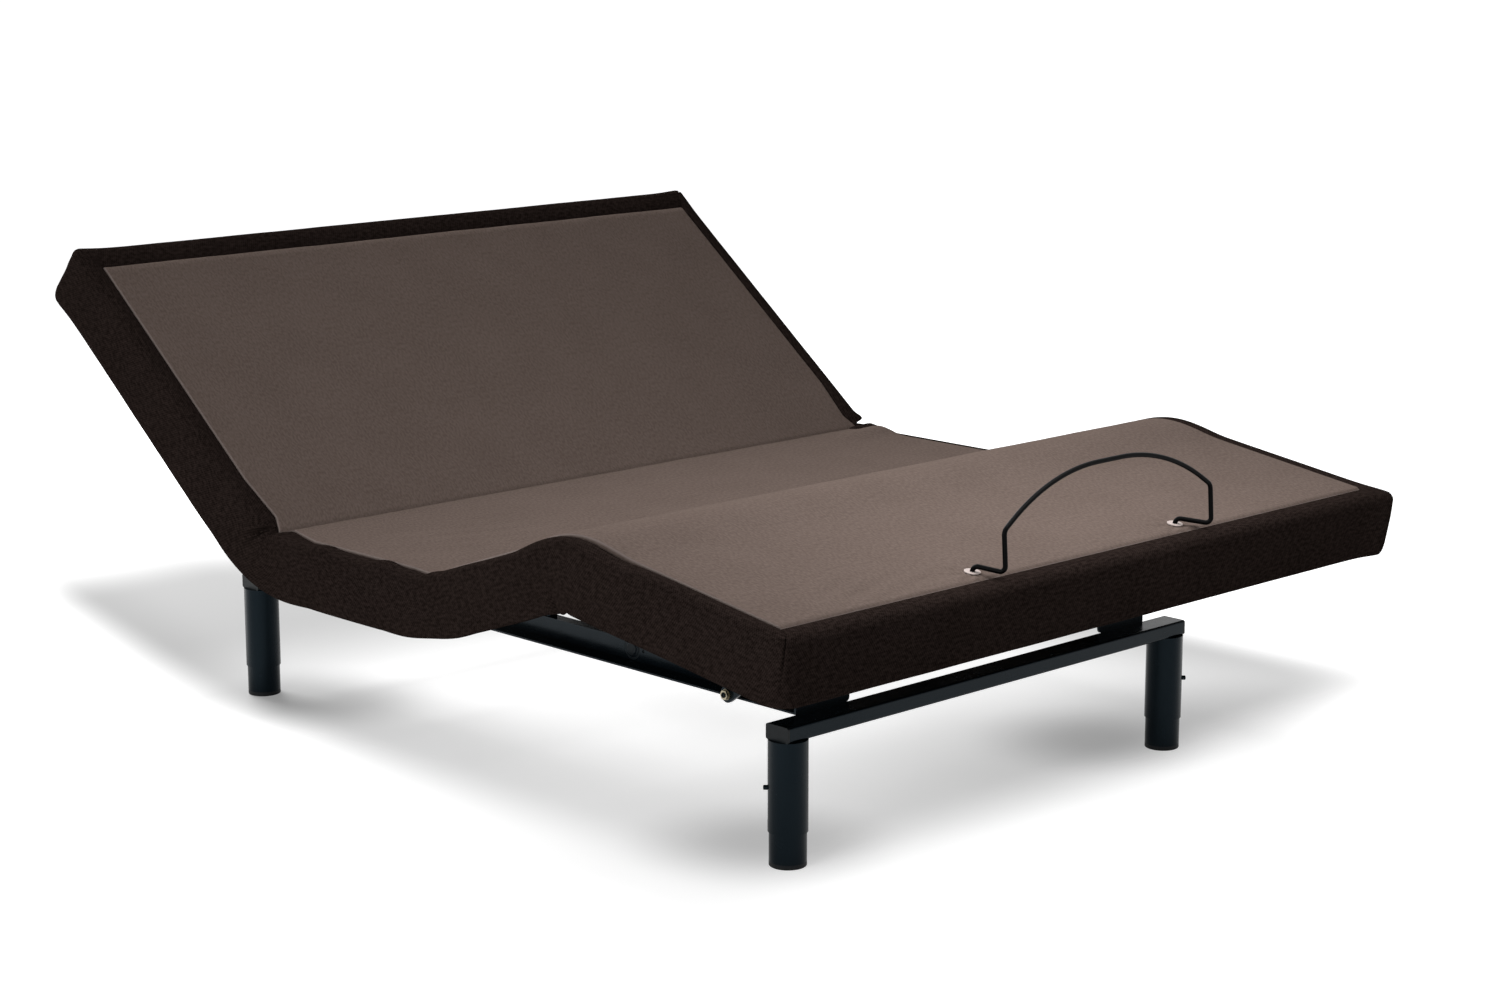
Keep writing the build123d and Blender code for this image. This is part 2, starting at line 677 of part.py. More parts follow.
HEAD_EDGE = track_edge(HEAD_SHAFT_OFFSET, HEAD_ARM, HEAD_ARM_FLAT, HEAD_ARM_RATIO, HEAD_LIMIT)
THIGH_EDGE = track_edge(
    THIGH_SHAFT_OFFSET, THIGH_ARM, THIGH_ARM_FLAT, THIGH_ARM_RATIO, THIGH_LIMIT
)
lift_tracks("head_lift_tracks", HEAD, HEAD_EDGE)
lift_tracks("thigh_lift_tracks", THIGH, THIGH_EDGE)

HEAD_ARM_SLOPE = HEAD_ARM_FLAT + HEAD_ARM_RATIO * HEAD_RAISED
THIGH_ARM_SLOPE = THIGH_ARM_FLAT + THIGH_ARM_RATIO * THIGH_RAISED
HEAD_LEVER_SLOPE = HEAD_ARM_RATIO * (HEAD_RAISED - HEAD_LIMIT / 2) - 90
THIGH_LEVER_SLOPE = THIGH_ARM_RATIO * (THIGH_RAISED - THIGH_LIMIT / 2) - 90
HEAD_ARM_PLANE = panel_plane(HEAD_SHAFT, SHAFT_HEIGHT, HEAD_ARM_SLOPE, True)
THIGH_ARM_PLANE = panel_plane(THIGH_SHAFT, SHAFT_HEIGHT, THIGH_ARM_SLOPE, False)
HEAD_LEVER_PLANE = panel_plane(HEAD_SHAFT, SHAFT_HEIGHT, HEAD_LEVER_SLOPE, True)
THIGH_LEVER_PLANE = panel_plane(THIGH_SHAFT, SHAFT_HEIGHT, THIGH_LEVER_SLOPE, False)


def arm_profile(length, end_radius):
    """Tapered plate from the shaft boss to a round end."""
    Circle(SHAFT_BOSS)
    with Locations((length, 0)):
        Circle(end_radius)
    make_hull()


def lift_shaft(name, arm_plane, lever_plane, arm):
    """Welded torque tube with two lift arms, their roller axles, and the drive lever."""
    half = RAIL_WEB + SHAFT_PROUD
    with BuildPart() as shaft:
        with BuildSketch(side(arm_plane)):
            Circle(SHAFT_RADIUS)
        extrude(amount=half, both=True)
        for hand in (-1, 1):
            with BuildSketch(side(arm_plane, hand * ARM_FACE)):
                arm_profile(arm, ARM_END)
            extrude(amount=-hand * ARM_PLATE)
            with BuildSketch(side(arm_plane, hand * ARM_FACE)):
                with Locations((arm, 0)):
                    Circle(AXLE_RADIUS)
            extrude(amount=hand * (ROLLER_WIDTH + 2 * ROLLER_SIDE))
            head_face = ROLLER_FACE + ROLLER_WIDTH + ROLLER_SIDE
            with BuildSketch(side(arm_plane, hand * head_face)):
                with Locations((arm, 0)):
                    Circle(AXLE_RADIUS + AXLE_HEAD)
            extrude(amount=hand * AXLE_HEAD)
            with BuildSketch(side(lever_plane, hand * (YOKE_WIDTH / 2 + YOKE_FIT))):
                arm_profile(LEVER, LEVER_END)
            extrude(amount=hand * LEVER_PLATE)
        with BuildSketch(side(lever_plane)):
            with Locations((LEVER, 0)):
                Circle(LEVER_PIN)
        extrude(amount=YOKE_WIDTH / 2 + YOKE_FIT, both=True)
        with BuildSketch(side(arm_plane)):
            Circle(SHAFT_BORE)
        extrude(amount=half, both=True, mode=Mode.SUBTRACT)
    write(shaft, name)


def lift_rollers(name, arm_plane, arm):
    """Moulded rollers on the arm axles, one on each side of the bed."""
    with BuildPart() as rollers:
        for start in (ROLLER_FACE, -ROLLER_FACE - ROLLER_WIDTH):
            with BuildSketch(side(arm_plane, start)):
                with Locations((arm, 0)):
                    Circle(ROLLER_RADIUS)
            extrude(amount=ROLLER_WIDTH)
        chamfer(rollers.edges().filter_by(GeomType.CIRCLE), ROLLER_EDGE)
        with BuildSketch(side(arm_plane)):
            with Locations((arm, 0)):
                Circle(AXLE_RADIUS + SHAFT_FIT)
        extrude(amount=HALF_WIDTH, both=True, mode=Mode.SUBTRACT)
    write(rollers, name)


lift_shaft("head_lift_shaft", HEAD_ARM_PLANE, HEAD_LEVER_PLANE, HEAD_ARM)
lift_shaft("thigh_lift_shaft", THIGH_ARM_PLANE, THIGH_LEVER_PLANE, THIGH_ARM)
lift_rollers("head_rollers", HEAD_ARM_PLANE, HEAD_ARM)
lift_rollers("thigh_rollers", THIGH_ARM_PLANE, THIGH_ARM)

# Flanged bushes that carry the shafts in the rail webs
with BuildPart() as shaft_bushes:
    for line in (HEAD_SHAFT, THIGH_SHAFT):
        for hand in (-1, 1):
            with BuildSketch(Plane.YZ.offset(hand * RAIL_WEB)):
                with Locations((line, SHAFT_HEIGHT)):
                    Circle(BUSH_OUTER)
                    Circle(SHAFT_RADIUS + SHAFT_FIT, mode=Mode.SUBTRACT)
            extrude(amount=-hand * (RAIL_WALL + BUSH_BOSS))
            with BuildSketch(Plane.YZ.offset(hand * RAIL_INSIDE)):
                with Locations((line, SHAFT_HEIGHT)):
                    Circle(BUSH_OUTER + BUSH_RIM)
                    Circle(SHAFT_RADIUS + SHAFT_FIT, mode=Mode.SUBTRACT)
            extrude(amount=-hand * BUSH_FLANGE)
write(shaft_bushes, "shaft_bushes")


# Linear drives. The rod carries a yoke with an upright slot round the lever's cross pin,
# so the drive stays in line while the pin rises and falls with the lever.
def drive_facts(ratio, limit):
    """Height of the drive below the shaft, slot rise and rod travel, for one lever sweep."""
    half_sweep = radians(ratio * limit / 2)
    rise = LEVER * (1 - cos(half_sweep))
    travel = 2 * half_sweep * LEVER * sin(YOKE_LINE * half_sweep) / (YOKE_LINE * half_sweep)
    return SHAFT_HEIGHT - LEVER + rise / 2, rise, travel


HEAD_DRIVE_Z, HEAD_SLOT_RISE, HEAD_TRAVEL = drive_facts(HEAD_ARM_RATIO, HEAD_LIMIT)
THIGH_DRIVE_Z, THIGH_SLOT_RISE, THIGH_TRAVEL = drive_facts(THIGH_ARM_RATIO, THIGH_LIMIT)
HEAD_YOKE = HEAD_SHAFT + HEAD_TRAVEL * (HEAD_RAISED / HEAD_LIMIT - 1 / 2)
THIGH_YOKE = THIGH_SHAFT - THIGH_TRAVEL * (THIGH_RAISED / THIGH_LIMIT - 1 / 2)
YOKE_HALF = LEVER_PIN + YOKE_ROOM + YOKE_WALL
MOUTH_BACK = YOKE_HALF + DRIVE_MOUTH
HEAD_DRIVE = panel_plane(HEAD_SHAFT - HEAD_TRAVEL / 2 - MOUTH_BACK, HEAD_DRIVE_Z, 0, True)
THIGH_DRIVE = panel_plane(THIGH_SHAFT + THIGH_TRAVEL / 2 + MOUTH_BACK, THIGH_DRIVE_Z, 0, False)
HEAD_TUBE = HEAD_TRAVEL + ROD_ENGAGED + DRIVE_TUBE_SPARE
THIGH_TUBE = THIGH_TRAVEL + ROD_ENGAGED + DRIVE_TUBE_SPARE


def section(plane, along):
    """Plane square to a drive's axis, at a place along it."""
    place = plane.origin + plane.y_dir * along
    return Plane(origin=place, x_dir=plane.x_dir, z_dir=plane.y_dir)


def drive_rod(name, plane, yoke, travel, slot_rise):
    """Push rod with the slotted yoke on its end."""
    reach = abs(yoke - plane.origin.Y)
    slot_width = 2 * (LEVER_PIN + YOKE_ROOM)
    with BuildPart() as rod:
        with BuildSketch(side(plane)):
            with Locations((reach, 0)):
                RectangleRounded(2 * YOKE_HALF, slot_rise + 2 * YOKE_HALF, YOKE_WALL)
        extrude(amount=YOKE_WIDTH / 2, both=True)
        with BuildSketch(section(plane, reach - YOKE_HALF)):
            Circle(ROD_RADIUS)
        extrude(amount=-(DRIVE_MOUTH + travel + ROD_ENGAGED))
        with BuildSketch(side(plane)):
            with Locations((reach, 0)):
                SlotOverall(slot_rise + slot_width, slot_width, rotation=90)
        extrude(amount=YOKE_WIDTH, both=True, mode=Mode.SUBTRACT)
    write(rod, name)


drive_rod("head_drive_rod", HEAD_DRIVE, HEAD_YOKE, HEAD_TRAVEL, HEAD_SLOT_RISE)
drive_rod("thigh_drive_rod", THIGH_DRIVE, THIGH_YOKE, THIGH_TRAVEL, THIGH_SLOT_RISE)

with BuildPart() as drive_tubes:
    for plane, length in ((HEAD_DRIVE, HEAD_TUBE), (THIGH_DRIVE, THIGH_TUBE)):
        with BuildSketch(section(plane, 0)):
            Circle(DRIVE_TUBE)
            Circle(ROD_RADIUS + FIT, mode=Mode.SUBTRACT)
        extrude(amount=-length)
write(drive_tubes, "drive_tubes")


def drive_motor(name, plane, tube):
    """Gear housing behind the tube, with the motor can beside the tube and a rear lug."""
    with BuildPart() as motor:
        with BuildSketch(section(plane, -tube)):
            with Locations((MOTOR_OFFSET / 2, 0)):
                RectangleRounded(GEARBOX_WIDTH + MOTOR_OFFSET, GEARBOX_HEIGHT, MOTOR_RADIUS)
        extrude(amount=-GEARBOX_LENGTH)
        ends = motor.faces().filter_by(Plane.XZ)
        fillet(ends.edges(), GEARBOX_ROUND)
        with BuildSketch(section(plane, -tube)):
            with Locations((MOTOR_OFFSET, 0)):
                Circle(MOTOR_RADIUS)
        extrude(amount=MOTOR_LENGTH)
        can_end = motor.faces().filter_by(Plane.XZ).sort_by(Axis(plane.origin, plane.y_dir))[-1]
        fillet(can_end.edges(), GEARBOX_ROUND)
        lug = -tube - GEARBOX_LENGTH
        with BuildSketch(side(plane)):
            with Locations((lug - LUG_REACH / 2, 0)):
                Rectangle(LUG_REACH, LUG_REACH)
            with Locations((lug - LUG_REACH, 0)):
                Circle(LUG_REACH / 2)
                Circle(LUG_PIN + SHAFT_FIT, mode=Mode.SUBTRACT)
        extrude(amount=LUG_WIDTH / 2, both=True)
    write(motor, name)


drive_motor("head_drive_motor", HEAD_DRIVE, HEAD_TUBE)
drive_motor("thigh_drive_motor", THIGH_DRIVE, THIGH_TUBE)

# Crossmember between the rails, with the clevises that hold both drives
HEAD_LUG = HEAD_DRIVE.origin.Y - HEAD_TUBE - GEARBOX_LENGTH - LUG_REACH
THIGH_LUG = THIGH_DRIVE.origin.Y + THIGH_TUBE + GEARBOX_LENGTH + LUG_REACH
CROSSMEMBER_LINE = (HEAD_LUG + THIGH_LUG) / 2

with BuildPart() as drive_crossmember:
    with BuildSketch(Plane.YZ):
        with Locations((CROSSMEMBER_LINE, RAIL_MIDDLE)):
            RectangleRounded(CROSSMEMBER, CROSSMEMBER, TUBE_ROUND)
            hollow = CROSSMEMBER - 2 * TUBE_WALL
            Rectangle(hollow, hollow, mode=Mode.SUBTRACT)
    extrude(amount=RAIL_INSIDE, both=True)
    for pin_line, pin_level in ((HEAD_LUG, HEAD_DRIVE_Z), (THIGH_LUG, THIGH_DRIVE_Z)):
        for hand in (-1, 1):
            with BuildSketch(Plane.YZ.offset(hand * (LUG_WIDTH / 2 + CLEVIS_SIDE))):
                with Locations((pin_line, pin_level)):
                    Circle(CLEVIS_END)
                with Locations((CROSSMEMBER_LINE, RAIL_MIDDLE - CROSSMEMBER / 2)):
                    Rectangle(CROSSMEMBER, 2 * TUBE_WALL)
                make_hull()
            extrude(amount=hand * CLEVIS_PLATE)
        with BuildSketch(Plane.YZ):
            with Locations((pin_line, pin_level)):
                Circle(LUG_PIN)
        extrude(amount=LUG_WIDTH / 2 + CLEVIS_SIDE + CLEVIS_PLATE, both=True)
write(drive_crossmember, "drive_crossmember")

# Foot links outside the rails, and the shoulder bolts that they turn on
LINK_PLANE = panel_plane(LINK_PIVOT_Y, LINK_PIVOT_Z, LINK_SLOPE, False)
LINK_OUTSIDE = LINK_LINE + LINK_PLATE
WASHER_FACE = LINK_OUTSIDE + FIT + LINK_WASHER_THICKNESS

with BuildPart() as foot_links:
    for start in (LINK_LINE, -LINK_OUTSIDE):
        with BuildSketch(side(LINK_PLANE, start)):
            Circle(LINK_HALF_HEIGHT)
            with Locations((LINK_LENGTH, 0)):
                Circle(LINK_EYE)
            make_hull()
            Circle(LINK_BOLT + PIN_FIT, mode=Mode.SUBTRACT)
            with Locations((LINK_LENGTH, 0)):
                Circle(LINK_BOLT + LINK_ROOM, mode=Mode.SUBTRACT)
        extrude(amount=LINK_PLATE)
write(foot_links, "foot_links")

with BuildPart() as link_pivot_bolts:
    for hand in (-1, 1):
        for radius, start, end in (
            (LINK_BOLT_HEAD, RAIL_INSIDE - LINK_NUT, RAIL_INSIDE),
            (LINK_BOLT, RAIL_INSIDE, LINK_OUTSIDE + FIT),
            (LINK_SPACER, RAIL_WEB, LINK_LINE - FIT),
            (LINK_WASHER, LINK_OUTSIDE + FIT, WASHER_FACE),
        ):
            with BuildSketch(Plane.YZ.offset(hand * start)):
                with Locations((LINK_PIVOT_Y, LINK_PIVOT_Z)):
                    Circle(radius)
            extrude(amount=hand * (end - start))
        with BuildSketch(Plane.YZ.offset(hand * WASHER_FACE)):
            with Locations((LINK_PIVOT_Y, LINK_PIVOT_Z)):
                RegularPolygon(LINK_BOLT_HEAD, 6)
        extrude(amount=hand * LINK_NUT)
write(link_pivot_bolts, "link_pivot_bolts")

# Brackets under the foot board, each with the pin that sits loosely in its link's eye
BRACKET_FACE = LINK_LINE - BRACKET_SIDE
PIN_FACE = LINK_OUTSIDE + BRACKET_SIDE

with BuildPart() as foot_link_brackets:
    for hand in (-1, 1):
        with BuildSketch(side(FOOT, hand * BRACKET_FACE)):
            with Locations((LINK_REACH, BOARD_BOTTOM - BRACKET_PLATE / 2)):
                Rectangle(BRACKET_LENGTH, BRACKET_PLATE)
            with Locations((LINK_REACH, -LINK_DROP)):
                Circle(LINK_HALF_HEIGHT)
            make_hull()
        extrude(amount=-hand * BRACKET_PLATE)
        with BuildSketch(side(FOOT, hand * BRACKET_FACE)):
            with Locations((LINK_REACH, BOARD_BOTTOM - BRACKET_PLATE / 2)):
                Rectangle(BRACKET_LENGTH, BRACKET_PLATE)
        extrude(amount=-hand * (BRACKET_PLATE + BRACKET_FLANGE))
        for radius, start, end in (
            (LINK_BOLT, BRACKET_FACE, PIN_FACE),
            (PIN_HEAD, PIN_FACE, PIN_FACE + PIN_HEAD_THICKNESS),
        ):
            with BuildSketch(side(FOOT, hand * start)):
                with Locations((LINK_REACH, -LINK_DROP)):
                    Circle(radius)
            extrude(amount=hand * (end - start))
write(foot_link_brackets, "foot_link_brackets")

# Mattress retainer: one bent wire standing in two sockets near the end of the foot panel
SOCKET_LOW = BOARD_BOTTOM - SOCKET_BELOW
WIRE_LEVEL = TOP + SOCKET_RIM_THICKNESS + RETAINER_BEND + FIT


def up_the_bar(across, height):
    """Place on the leaning upright part of the bar, in the foot panel's own frame."""
    lean = radians(RETAINER_LEAN)
    return (across, RETAINER_UPRIGHT_LINE - height * sin(lean), WIRE_LEVEL + height * cos(lean))


def retainer_route():
    """Corners of the wire across the bed, from one socket to the other."""
    crown = RETAINER_UPRIGHT + RETAINER_RISE
    right_foot = [
        (SOCKET_PLACES[0], RETAINER_SOCKET_LINE, SOCKET_LOW),
        (SOCKET_PLACES[0], RETAINER_SOCKET_LINE, WIRE_LEVEL),
        up_the_bar(UPRIGHT_PLACES[0], 0),
        up_the_bar(UPRIGHT_PLACES[0], RETAINER_UPRIGHT),
        up_the_bar(UPRIGHT_PLACES[0] + RETAINER_SHOULDER, crown),
    ]
    left_foot = [
        up_the_bar(UPRIGHT_PLACES[1] - RETAINER_SHOULDER, crown),
        up_the_bar(UPRIGHT_PLACES[1], RETAINER_UPRIGHT),
        up_the_bar(UPRIGHT_PLACES[1], 0),
        (SOCKET_PLACES[1], RETAINER_SOCKET_LINE, WIRE_LEVEL),
        (SOCKET_PLACES[1], RETAINER_SOCKET_LINE, SOCKET_LOW),
    ]
    return [FOOT.from_local_coords(corner) for corner in right_foot + left_foot]


ROUTE = retainer_route()
BENDS = [RETAINER_BEND, RETAINER_BEND, RETAINER_CORNER, RETAINER_CROWN]

with BuildPart() as retainer_bar:
    with BuildLine() as wire:
        FilletPolyline(*ROUTE, radius=BENDS + BENDS[::-1])
    with BuildSketch(Plane(origin=ROUTE[0], z_dir=ROUTE[1] - ROUTE[0])):
        Circle(RETAINER_WIRE)
    sweep(path=wire.wires()[0])
write(retainer_bar, "retainer_bar")

with BuildPart() as retainer_sockets:
    for place in SOCKET_PLACES:
        for level, radius, height in (
            (SOCKET_LOW, SOCKET_OUTER, TOP - SOCKET_LOW),
            (TOP, SOCKET_OUTER + SOCKET_RIM, SOCKET_RIM_THICKNESS),
        ):
            with BuildSketch(FOOT.offset(level)):
                with Locations((place, RETAINER_SOCKET_LINE)):
                    Circle(radius)
                    Circle(SOCKET_BORE, mode=Mode.SUBTRACT)
            extrude(amount=height)
write(retainer_sockets, "retainer_sockets")

# Massage motors: round sealed housings screwed under the back and foot boards
for name, plane, line in (
    ("head_massage_motor", HEAD, MASSAGE_LINE_HEAD),
    ("foot_massage_motor", FOOT, MASSAGE_LINE_FOOT),
):
    with BuildPart() as massage_motor:
        with BuildSketch(plane.offset(BOARD_BOTTOM)):
            with Locations((0, line)):
                Circle(MASSAGE_FLANGE)
        extrude(amount=-MASSAGE_FLANGE_THICKNESS)
        with BuildSketch(plane.offset(BOARD_BOTTOM)):
            with Locations((0, line)):
                Circle(MASSAGE_RADIUS)
        extrude(amount=-MASSAGE_DEPTH)
        cover = massage_motor.faces().sort_by(Axis(plane.origin, plane.z_dir))[0]
        fillet(cover.edges(), MASSAGE_ROUND)
    write(massage_motor, name)

# Control box under the seat board, with its supply inlet facing the foot end
with BuildPart() as control_box:
    box_width, box_length, box_height = CONTROL_BOX
    with BuildSketch(Plane.XY.offset(BEARER_TOP)):
        with Locations((CONTROL_BOX_SIDE, SEAT_CENTRE)):
            RectangleRounded(box_width, box_length, CONTROL_ROUND)
    extrude(amount=-box_height)
    fillet(control_box.faces().sort_by(Axis.Z)[0].edges(), CONTROL_ROUND / 2)
    with BuildSketch(Plane.XZ.offset(box_length / 2 - SEAT_CENTRE)):
        with Locations((CONTROL_BOX_SIDE, BEARER_TOP - box_height / 2)):
            Circle(INLET_RADIUS)
    extrude(amount=-INLET_DEPTH, mode=Mode.SUBTRACT)
write(control_box, "control_box")

# Telescopic legs: outer tubes under the crossbars, each with a detent track for its button.
# Each place gives the side, the line along the bed and the way the button faces in degrees.
LEG_PLACES = {
    "foot_left": (-1, LEG_LINE_FOOT, 136),
    "foot_right": (1, LEG_LINE_FOOT, -44),
    "head_left": (-1, LEG_LINE_HEAD, 46),
    "head_right": (1, LEG_LINE_HEAD, 46),
}
LEG_RADIUS = LEG_TUBE / 2
LEG_BORE = LEG_RADIUS - LEG_TUBE_WALL
INNER_RADIUS = LEG_BORE - FIT
INNER_BORE = INNER_RADIUS - LEG_TUBE_WALL
DETENT_PITCH = LEG_TRAVEL / (LEG_STOPS - 1)


def button_plane(hand, line, facing):
    """Plane on a leg's axis at button height: local Y up, local Z out through the button."""
    turn = radians(facing)
    return Plane(
        origin=(hand * LEG_X, line, BUTTON_HEIGHT),
        x_dir=(-sin(turn), cos(turn), 0),
        z_dir=(cos(turn), sin(turn), 0),
    )


with BuildPart() as leg_outer_tubes:
    for hand, line, facing in LEG_PLACES.values():
        with BuildSketch(Plane.XY.offset(LEG_TUBE_FOOT)):
            with Locations((hand * LEG_X, line)):
                Circle(LEG_RADIUS)
        extrude(amount=LEG_HEIGHT - LEG_TUBE_FOOT)
        with BuildSketch(Plane.XY.offset(LEG_TUBE_FOOT)):
            with Locations((hand * LEG_X, line)):
                Circle(LEG_BORE)
        extrude(amount=LEG_HEIGHT - LEG_CAP - LEG_TUBE_FOOT, mode=Mode.SUBTRACT)
        with BuildSketch(button_plane(hand, line, facing)):
            with Locations((0, -LEG_TRAVEL / 2)):
                SlotCenterToCenter(LEG_TRAVEL, 2 * (BUTTON_RADIUS + BUTTON_ROOM), rotation=90)
            for stop in range(LEG_STOPS):
                with Locations((0, -stop * DETENT_PITCH)):
                    Circle(BUTTON_RADIUS + 2 * BUTTON_ROOM)
        extrude(amount=LEG_TUBE, mode=Mode.SUBTRACT)
write(leg_outer_tubes, "leg_outer_tubes")

for place, (hand, line, facing) in LEG_PLACES.items():
    outward = button_plane(hand, line, facing)
    with BuildPart() as inner_tube:
        with BuildSketch(Plane.XY.offset(GLIDE_THICKNESS)):
            with Locations((hand * LEG_X, line)):
                Circle(INNER_RADIUS)
                Circle(INNER_BORE, mode=Mode.SUBTRACT)
        extrude(amount=INNER_TUBE_TOP - GLIDE_THICKNESS)
        with BuildSketch(outward):
            Circle(BUTTON_RADIUS + FIT)
        extrude(amount=LEG_TUBE, mode=Mode.SUBTRACT)
    write(inner_tube, f"leg_inner_tube_{place}")

    with BuildPart() as glide:
        with BuildSketch(Plane.XY):
            with Locations((hand * LEG_X, line)):
                Circle(INNER_RADIUS)
        extrude(amount=GLIDE_THICKNESS)
        fillet(glide.faces().sort_by(Axis.Z)[0].edges(), GLIDE_EDGE)
        with BuildSketch(Plane.XY.offset(GLIDE_THICKNESS)):
            with Locations((hand * LEG_X, line)):
                Circle(INNER_BORE - SEAM)
        extrude(amount=GLIDE_PLUG)
    write(glide, f"leg_glide_{place}")

    with BuildPart() as button:
        inside = INNER_BORE - FIT
        seat_depth = (inside**2 - (BUTTON_RADIUS + BUTTON_FLANGE) ** 2) ** 0.5
        with BuildSketch(outward.offset(seat_depth)):
            Circle(BUTTON_RADIUS)
        extrude(amount=LEG_RADIUS + BUTTON_PROUD - seat_depth)
        tip = button.faces().sort_by(Axis(outward.origin, outward.z_dir))[-1]
        fillet(tip.edges(), BUTTON_RADIUS / 2)
        with BuildSketch(outward.offset(seat_depth)):
            Circle(BUTTON_RADIUS + BUTTON_FLANGE)
        extrude(amount=-BUTTON_FLANGE)
    write(button, f"leg_button_{place}")
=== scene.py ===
# Adjustable bed base in its raised pose: back up, knees up, foot end sloping down.
# The steel frame, drives and hinges are the modelled solids with their real finishes. The
# upholstery is made here: borders and tops of four panels, and folds over the hinge lines.
import json
from collections import namedtuple
from math import cos, exp, pi, radians, sin

import bmesh
import bpy
import numpy as np
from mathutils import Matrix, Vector, noise


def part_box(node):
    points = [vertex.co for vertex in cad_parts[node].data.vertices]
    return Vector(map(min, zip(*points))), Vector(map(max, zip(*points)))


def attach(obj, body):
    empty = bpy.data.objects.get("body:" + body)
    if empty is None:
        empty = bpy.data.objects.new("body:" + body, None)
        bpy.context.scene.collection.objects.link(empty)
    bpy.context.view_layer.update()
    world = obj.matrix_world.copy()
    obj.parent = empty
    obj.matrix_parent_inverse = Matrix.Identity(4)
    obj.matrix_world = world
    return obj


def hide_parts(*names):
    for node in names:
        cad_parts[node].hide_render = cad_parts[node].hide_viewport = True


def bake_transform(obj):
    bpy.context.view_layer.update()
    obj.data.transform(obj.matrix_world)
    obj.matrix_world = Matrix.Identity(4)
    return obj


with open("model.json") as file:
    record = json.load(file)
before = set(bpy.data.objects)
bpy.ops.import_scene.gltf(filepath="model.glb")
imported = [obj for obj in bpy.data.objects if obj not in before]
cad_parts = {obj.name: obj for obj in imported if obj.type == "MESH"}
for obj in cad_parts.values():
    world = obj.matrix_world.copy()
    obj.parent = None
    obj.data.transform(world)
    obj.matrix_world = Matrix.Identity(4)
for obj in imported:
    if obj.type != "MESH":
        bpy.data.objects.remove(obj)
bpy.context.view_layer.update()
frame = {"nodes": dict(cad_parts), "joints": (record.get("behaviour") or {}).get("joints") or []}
nodes = frame["nodes"]


# Legs: telescopic steel tubes with a blue-black powder coat, one sliding in the other.
# A spring button in a slot holds the height, and a moulded glide closes each foot.
def new_finish(name, colour, roughness, metallic=0.0):
    """Start a finish from its plain colour and gloss."""
    material = bpy.data.materials.new(name)
    material.use_nodes = True
    shader = material.node_tree.nodes["Principled BSDF"]
    shader.inputs["Base Color"].default_value = (*colour, 1)
    shader.inputs["Roughness"].default_value = roughness
    shader.inputs["Metallic"].default_value = metallic
    return material, material.node_tree, shader


def speckle(tree, scale, detail, coordinates="Object"):
    """Noise over a surface, with its grain given per metre."""
    place = tree.nodes.new("ShaderNodeTexCoord")
    grain = tree.nodes.new("ShaderNodeTexNoise")
    grain.inputs["Scale"].default_value = scale
    grain.inputs["Detail"].default_value = detail
    tree.links.new(place.outputs[coordinates], grain.inputs["Vector"])
    return grain.outputs["Fac"]


def between(tree, value, low, high, start=0.3, end=0.7):
    """Stretch the middle of a noise value over a range."""
    stretch = tree.nodes.new("ShaderNodeMapRange")
    stretch.inputs["From Min"].default_value = start
    stretch.inputs["From Max"].default_value = end
    stretch.inputs["To Min"].default_value = low
    stretch.inputs["To Max"].default_value = high
    tree.links.new(value, stretch.inputs["Value"])
    return stretch.outputs["Result"]


def two_tone(tree, shader, value, dark, light):
    """Vary the colour of a finish between two shades."""
    mixer = tree.nodes.new("ShaderNodeMix")
    mixer.data_type = "RGBA"
    mixer.inputs["A"].default_value = (*dark, 1)
    mixer.inputs["B"].default_value = (*light, 1)
    tree.links.new(value, mixer.inputs["Factor"])
    tree.links.new(mixer.outputs["Result"], shader.inputs["Base Color"])


def relief(tree, shader, height, depth, strength):
    """Raise a fine surface relief from a height value."""
    bump = tree.nodes.new("ShaderNodeBump")
    bump.inputs["Distance"].default_value = depth
    bump.inputs["Strength"].default_value = strength
    tree.links.new(height, bump.inputs["Height"])
    tree.links.new(bump.outputs["Normal"], shader.inputs["Normal"])


def dress(material, *names):
    """Give solids of the frame their finish."""
    for name in names:
        for slot in nodes[name].material_slots:
            slot.material = material


def powder_coat(name, dark, light):
    """Baked powder coat: smooth and glossy, with a cool sheen and a faint orange peel."""
    material, tree, shader = new_finish(name, light, 0.25)
    shader.inputs["Specular IOR Level"].default_value = 0.11
    shader.inputs["Specular Tint"].default_value = (0.6, 0.83, 1.0, 1)
    two_tone(tree, shader, between(tree, speckle(tree, 5, 2), 0, 1), dark, light)
    gloss = between(tree, speckle(tree, 30, 3), 0.21, 0.28)
    tree.links.new(gloss, shader.inputs["Roughness"])
    relief(tree, shader, speckle(tree, 500, 2), 0.0004, 0.03)
    return material


def moulded_plastic(name, dark, light, roughness):
    """Moulded plastic with a fine spark-eroded grain."""
    material, tree, shader = new_finish(name, light, roughness)
    shader.inputs["Specular IOR Level"].default_value = 0.14
    two_tone(tree, shader, between(tree, speckle(tree, 40, 3), 0, 1), dark, light)
    relief(tree, shader, speckle(tree, 1600, 2), 0.0003, 0.2)
    return material


frame_coat = powder_coat("frame_coat", (0.0022, 0.0041, 0.0058), (0.0030, 0.0053, 0.0074))
black_moulding = moulded_plastic("black_moulding", (0.005, 0.006, 0.007), (0.009, 0.010, 0.011), 0.5)
LEG_PLACES = ("foot_left", "foot_right", "head_left", "head_right")
dress(frame_coat, "leg_outer_tubes")
for place in LEG_PLACES:
    dress(frame_coat, f"leg_inner_tube_{place}", f"leg_button_{place}")
    dress(black_moulding, f"leg_glide_{place}")


